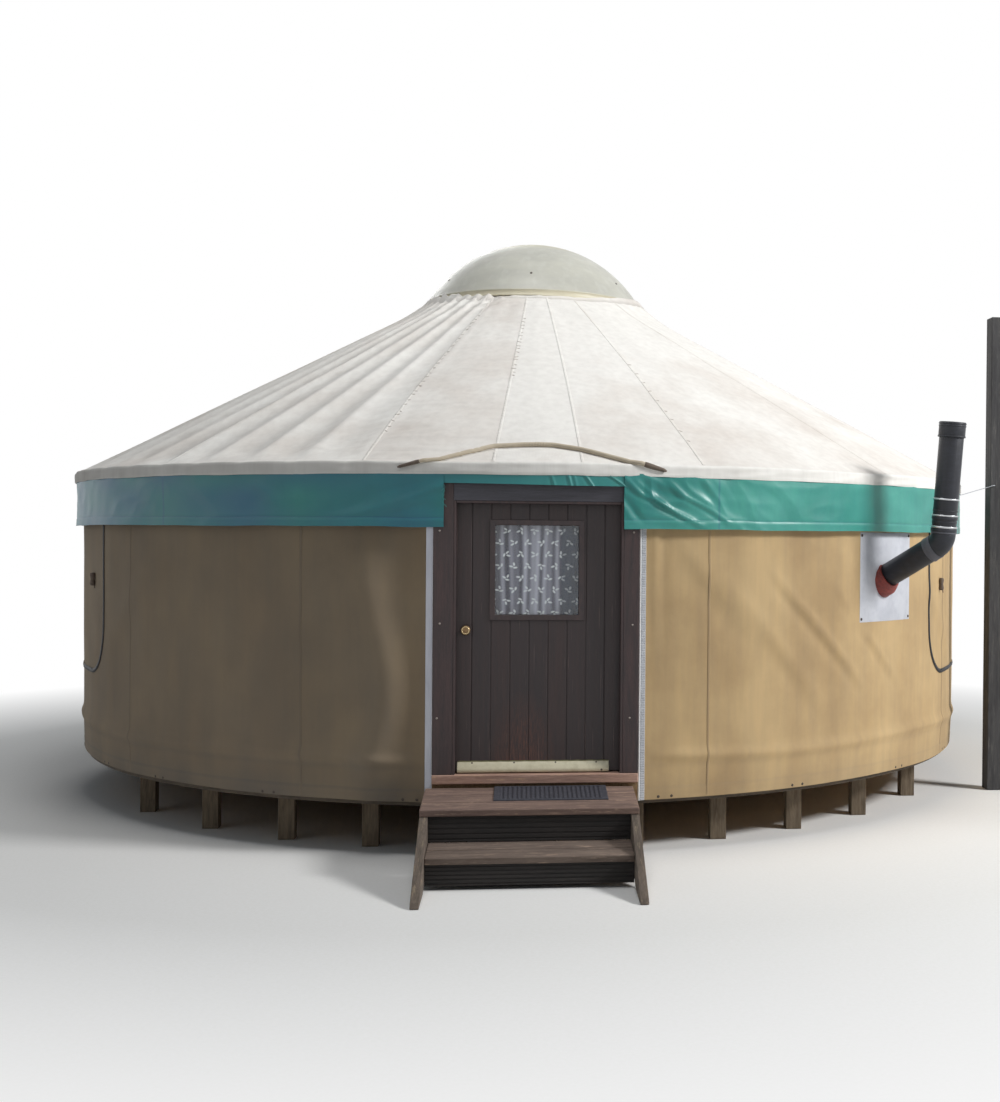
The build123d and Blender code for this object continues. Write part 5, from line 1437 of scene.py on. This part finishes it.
def make_mat():
    """Rubber mat: flat border and raised ribs across it every 24 mm, on the slope of the landing."""
    low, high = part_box("door_mat")
    fall = math.tan(math.radians(4.5))
    back = -high[1]
    front = -low[1]
    x = np.linspace(low[0], high[0], 430)
    depth = np.linspace(back, front, 44)[:, None]
    inside_x = np.minimum(x - low[0], high[0] - x)
    inside_d = np.minimum(depth - back, front - depth)
    border = ramp(inside_x, 0.03, 0.004) * ramp(inside_d, 0.022, 0.004)
    ribs = np.clip(np.sin(x * 2 * math.pi / 0.024) * 2.2, -1, 1)
    edge = ramp(inside_x, 0, 0.003) * ramp(inside_d, 0, 0.003)
    base_line = low[2] + (front - depth) * fall
    top = base_line + 0.0045 + 0.002 * edge + border * (0.0024 * ribs - 0.001)
    upper = together(x, -depth, top)
    under = together(x, -depth, base_line + 0.0004)
    skin = surface("mat_top", upper, inside=(0, -3.3, 0))
    floor = surface("mat_under", under[::14, ::39], inside=(0, -3.3, 3))
    rim_top = np.concatenate([upper[0], upper[1:, -1], upper[-1, -2::-1], upper[-2:0:-1, 0]])
    rim_low = np.concatenate([under[0], under[1:, -1], under[-1, -2::-1], under[-2:0:-1, 0]])
    middle = ((low[0] + high[0]) / 2, -3.3, 0.37)
    wall = surface("mat_rim", np.stack([rim_low, rim_top]), wrap_columns=True, inside=middle)
    piece("ribbed_mat", [skin, floor, wall], mat_rubber, ("door_mat",))


# Flue
def make_flue():
    """Plate, silicone boot, pipe with raised joints, bands, stay and post.

    The pipe leaves the wall at 28.8 degrees and the stack leans out by 4.8, in the plane of its azimuth.
    """
    timber("flue_wall_plate", "flue_plate", white_plate, 0.0008)
    half = math.degrees(math.asin((0.285 - 0.015) / 3.15))
    degrees = plate_azimuth + half * np.array([-1, 1, -1, 1])
    places = polar(3.1545, degrees, np.array([1.247, 1.247, 1.754, 1.754]))
    directions = polar(np.ones(4), degrees, np.zeros(4))
    screws("plate_screws", places, directions, 0.009, dark_eyelets)
    rise = math.radians(28.8)
    lean = math.radians(85.2)
    out = np.array([0, -math.cos(rise), math.sin(rise)])
    up = np.array([0, -math.cos(lean), math.sin(lean)])
    entry = np.array([0, -3.15, 1.496])
    corner = entry + out * (0.404 / math.cos(rise))
    tangent = 0.085 * math.tan((lean - rise) / 2)
    bend_end = corner + up * tangent
    turned = Matrix.Rotation(math.radians(flue_azimuth), 4, "Z")
    for name, source in (("sloping_pipe", "flue_pipe"), ("stack_pipe", "flue_stack")):
        made = timber(name, source, flue_enamel, 0.001)
        made.data.polygons.foreach_set("use_smooth", np.ones(len(made.data.polygons), dtype=bool))
    mesh = lathe("silicone_boot", boot_profile(), entry, out, 72, wrap=True)
    mesh.transform(turned)
    piece("silicone_boot", mesh, boot_rubber, ("flue_boot",))

    def on_stack(height):
        return bend_end + up * ((height - bend_end[2]) / math.sin(lean))

    bore = 0.0733
    sleeve = bore + 0.006
    top = 2.433
    rings = [
        (on_stack(1.808), up, bore, 0.012, 0.0052),
        (on_stack(1.877), up, bore, 0.009, 0.0050),
        (on_stack(1.974), up, bore, 0.010, 0.0045),
    ]
    collars = [
        (on_stack(top - 0.046), up, bore, 0.092, 0.006),
        (on_stack(top - 0.010), up, sleeve, 0.006, 0.0024),
        (on_stack(top - 0.024), up, sleeve, 0.006, 0.0024),
        (on_stack(top - 0.086), up, sleeve, 0.010, 0.003),
        (on_stack(1.838), up, bore, 0.012, 0.0012),
        (on_stack(1.905), up, bore, 0.008, 0.0025),
        (on_stack(1.862), up, bore, 0.020, 0.0040),
        (on_stack(1.790), up, bore, 0.022, 0.0045),
    ]
    sockets = [
        (corner - out * (tangent + 0.028), out, bore, 0.050, 0.0034),
        (corner - out * (tangent + 0.052), out, bore, 0.010, 0.0052),
        (bend_end + up * 0.012, up, bore, 0.010, 0.0032),
    ]
    for name, bands, material, slot in (
        ("flue_rings", rings, flue_rings, "band_steel"),
        ("flue_collars", collars, flue_enamel, "flue_steel"),
        ("elbow_sockets", sockets, scuffed_enamel, "flue_steel"),
    ):
        mesh = joined(name, [ring_band(*band) for band in bands])
        mesh.transform(turned)
        piece(name, mesh, material, ("flue_bands",))
    timber("stay_post", "flue_post", old_post, 0.005)
    make_stay()


def boot_profile():
    """Outline of the boot along the pipe: a wide flange at the wall, one soft step, the lip on the pipe."""
    outer = [
        (0.110, -0.056), (0.110, -0.012), (0.1095, -0.004), (0.1065, 0.003), (0.1020, 0.007),
        (0.1000, 0.0105), (0.0995, 0.0170), (0.0970, 0.0225), (0.0915, 0.0260), (0.0895, 0.0290),
        (0.0888, 0.0360), (0.0870, 0.0395), (0.0840, 0.0405),
    ]
    inner = [(0.0740, 0.0405), (0.0740, -0.056)]
    return np.array(outer + inner)


def ring_band(centre, axis, bore, width, thickness):
    """A band round a pipe with rounded outer corners."""
    edge = min(thickness, width / 2) * 0.45
    half = width / 2
    rim = bore + thickness
    profile = [
        (bore, -half), (rim - edge, -half), (rim - 0.3 * edge, -half + 0.3 * edge), (rim, -half + edge),
        (rim, half - edge), (rim - 0.3 * edge, half - 0.3 * edge), (rim - edge, half), (bore, half),
    ]
    return lathe("ring_band", profile, centre, axis, 72, wrap=True)


def make_stay():
    """A twisted wire from the band to the post, with a clamp near the pipe and a screw eye in the post."""
    start, end = stay_line
    twist = 0.0024 * (1 + 0.12 * np.sin(np.arange(60) * 2.0))
    wire = tube("stay_wire", np.linspace(start, end, 60), twist, 10)
    ahead = (end - start) / np.linalg.norm(end - start)
    clamp = tube("stay_clamp", np.linspace(start + ahead * 0.035, start + ahead * 0.065, 6), 0.006, 10)
    angle = np.linspace(0, 2 * math.pi, 20, endpoint=False)
    side = np.cross(ahead, np.array([0, 0, 1.0]))
    side /= np.linalg.norm(side)
    centre = end - ahead * 0.012
    loop = centre + 0.011 * (np.cos(angle)[:, None] * ahead + np.sin(angle)[:, None] * side)
    eye = tube("stay_eye", loop, 0.0025, 8, closed=True)
    piece("stay_wire", [wire, clamp, eye], galvanised, ("flue_stay",))


# Frame under the cloth
def make_structure():
    """Lattice, poles, crown, deck and joists keep their CAD shape and get their own timber."""
    for name, material in (
        ("lattice_front_right", ash), ("lattice_back_right", ash), ("lattice_back_left", ash),
        ("lattice_front_left", ash), ("roof_poles_right", ash_poles), ("roof_poles_left", ash_poles),
        ("crown_hoop", plywood), ("crown_socket_blocks", plywood), ("dome_curb", plywood),
        ("deck_rim", rim_ply), ("floor_joists", deck_timber), ("door_bearer", deck_timber),
        ("deck_legs", sawn_posts), ("centre_pier", sawn_posts), ("floor_boards", floor_planks),
    ):
        nodes[name].data.materials.clear()
        nodes[name].data.materials.append(material)


roof_skin = make_roof_cloth()
roof_seams, seam_tufts = make_roof_seams()
wall_lining, roof_lining = make_lining()
wall_skin_piece = make_wall_cloth()
wall_seams = make_wall_seams()
make_window_zips()
make_eyelets()
valance_long = make_valance()
valance_short = make_door_strip()
make_frayed_ends()
make_dome()
dome_ruffle = make_dome_ruffle()
make_deflector()
make_door()
make_frame()
make_edge_strips()
make_steps()
make_flue()
make_structure()


# Stage, light and camera
def make_stage():
    """Floor, white surroundings and soft lamps: a key on the right in front, a weak fill on the left."""
    side = np.array([-60.0, 60.0])
    corners = together(side, side[:, None], -0.002)
    floor = bpy.data.objects.new("studio_floor", surface("studio_floor", corners, inside=(0, 0, -5)))
    bpy.context.scene.collection.objects.link(floor)
    floor.data.materials.append(plain_ground())
    world = bpy.data.worlds.new("white_room")
    world.use_nodes = True
    bpy.context.scene.world = world
    tree = world.node_tree
    tree.nodes.clear()
    seen = seen_directly(tree)
    strength = add(tree, "MapRange", {0: seen, 3: 0.14, 4: 1.0})
    tint = add(tree, "Mix", {0: seen, 6: (0.80, 0.90, 1.0, 1.0), 7: (1, 1, 1, 1)}, 2, data_type="RGBA")
    back = add(tree, "Background", {"Color": tint, "Strength": strength})
    add(tree, "OutputWorld", {0: back})
    for name, place, size, power in (
        ("key_lamp", (10.2, -6.2, 7.4), 2.4, 1090.0),
        ("fill_lamp", (-9.0, -7.0, 5.0), 5.0, 30.0),
        ("top_lamp", (-0.5, -3.6, 10.0), 3.5, 265.0),
        ("back_lamp", (-3.0, 9.0, 7.0), 5.0, 220.0),
    ):
        lamp = bpy.data.lights.new(name, "AREA")
        lamp.energy = power
        lamp.size = size
        made = bpy.data.objects.new(name, lamp)
        bpy.context.scene.collection.objects.link(made)
        aim = np.array([0, 0, 1.3]) - np.array(place)
        from_axis = -aim / np.linalg.norm(aim)
        side_axis = np.cross([0, 0, 1], from_axis)
        side_axis /= np.linalg.norm(side_axis)
        up_axis = np.cross(from_axis, side_axis)
        turn = Matrix(np.stack([side_axis, up_axis, from_axis], 1).tolist()).to_4x4()
        made.matrix_world = Matrix.Translation(place) @ turn


def make_camera():
    """Eye height in front of the door; the picture's centre column lies left of the lens axis."""
    data = bpy.data.cameras.new("photo_camera")
    data.sensor_width = 36.0
    data.lens = 36.0 * 1383.9 / 1102
    data.shift_x = -(680 - 500) / 1102
    camera = bpy.data.objects.new("photo_camera", data)
    bpy.context.scene.collection.objects.link(camera)
    turn = Matrix.Rotation(math.radians(-6.523), 4, "Z")
    tilt = Matrix.Rotation(math.radians(90 - 0.557), 4, "X")
    roll = Matrix.Rotation(math.radians(0.495), 4, "Z")
    camera.matrix_world = Matrix.Translation((-0.083, -10.648, 1.732)) @ turn @ tilt @ roll
    bpy.context.scene.camera = camera


make_stage()
make_camera()
bpy.context.scene.view_settings.view_transform = "Standard"
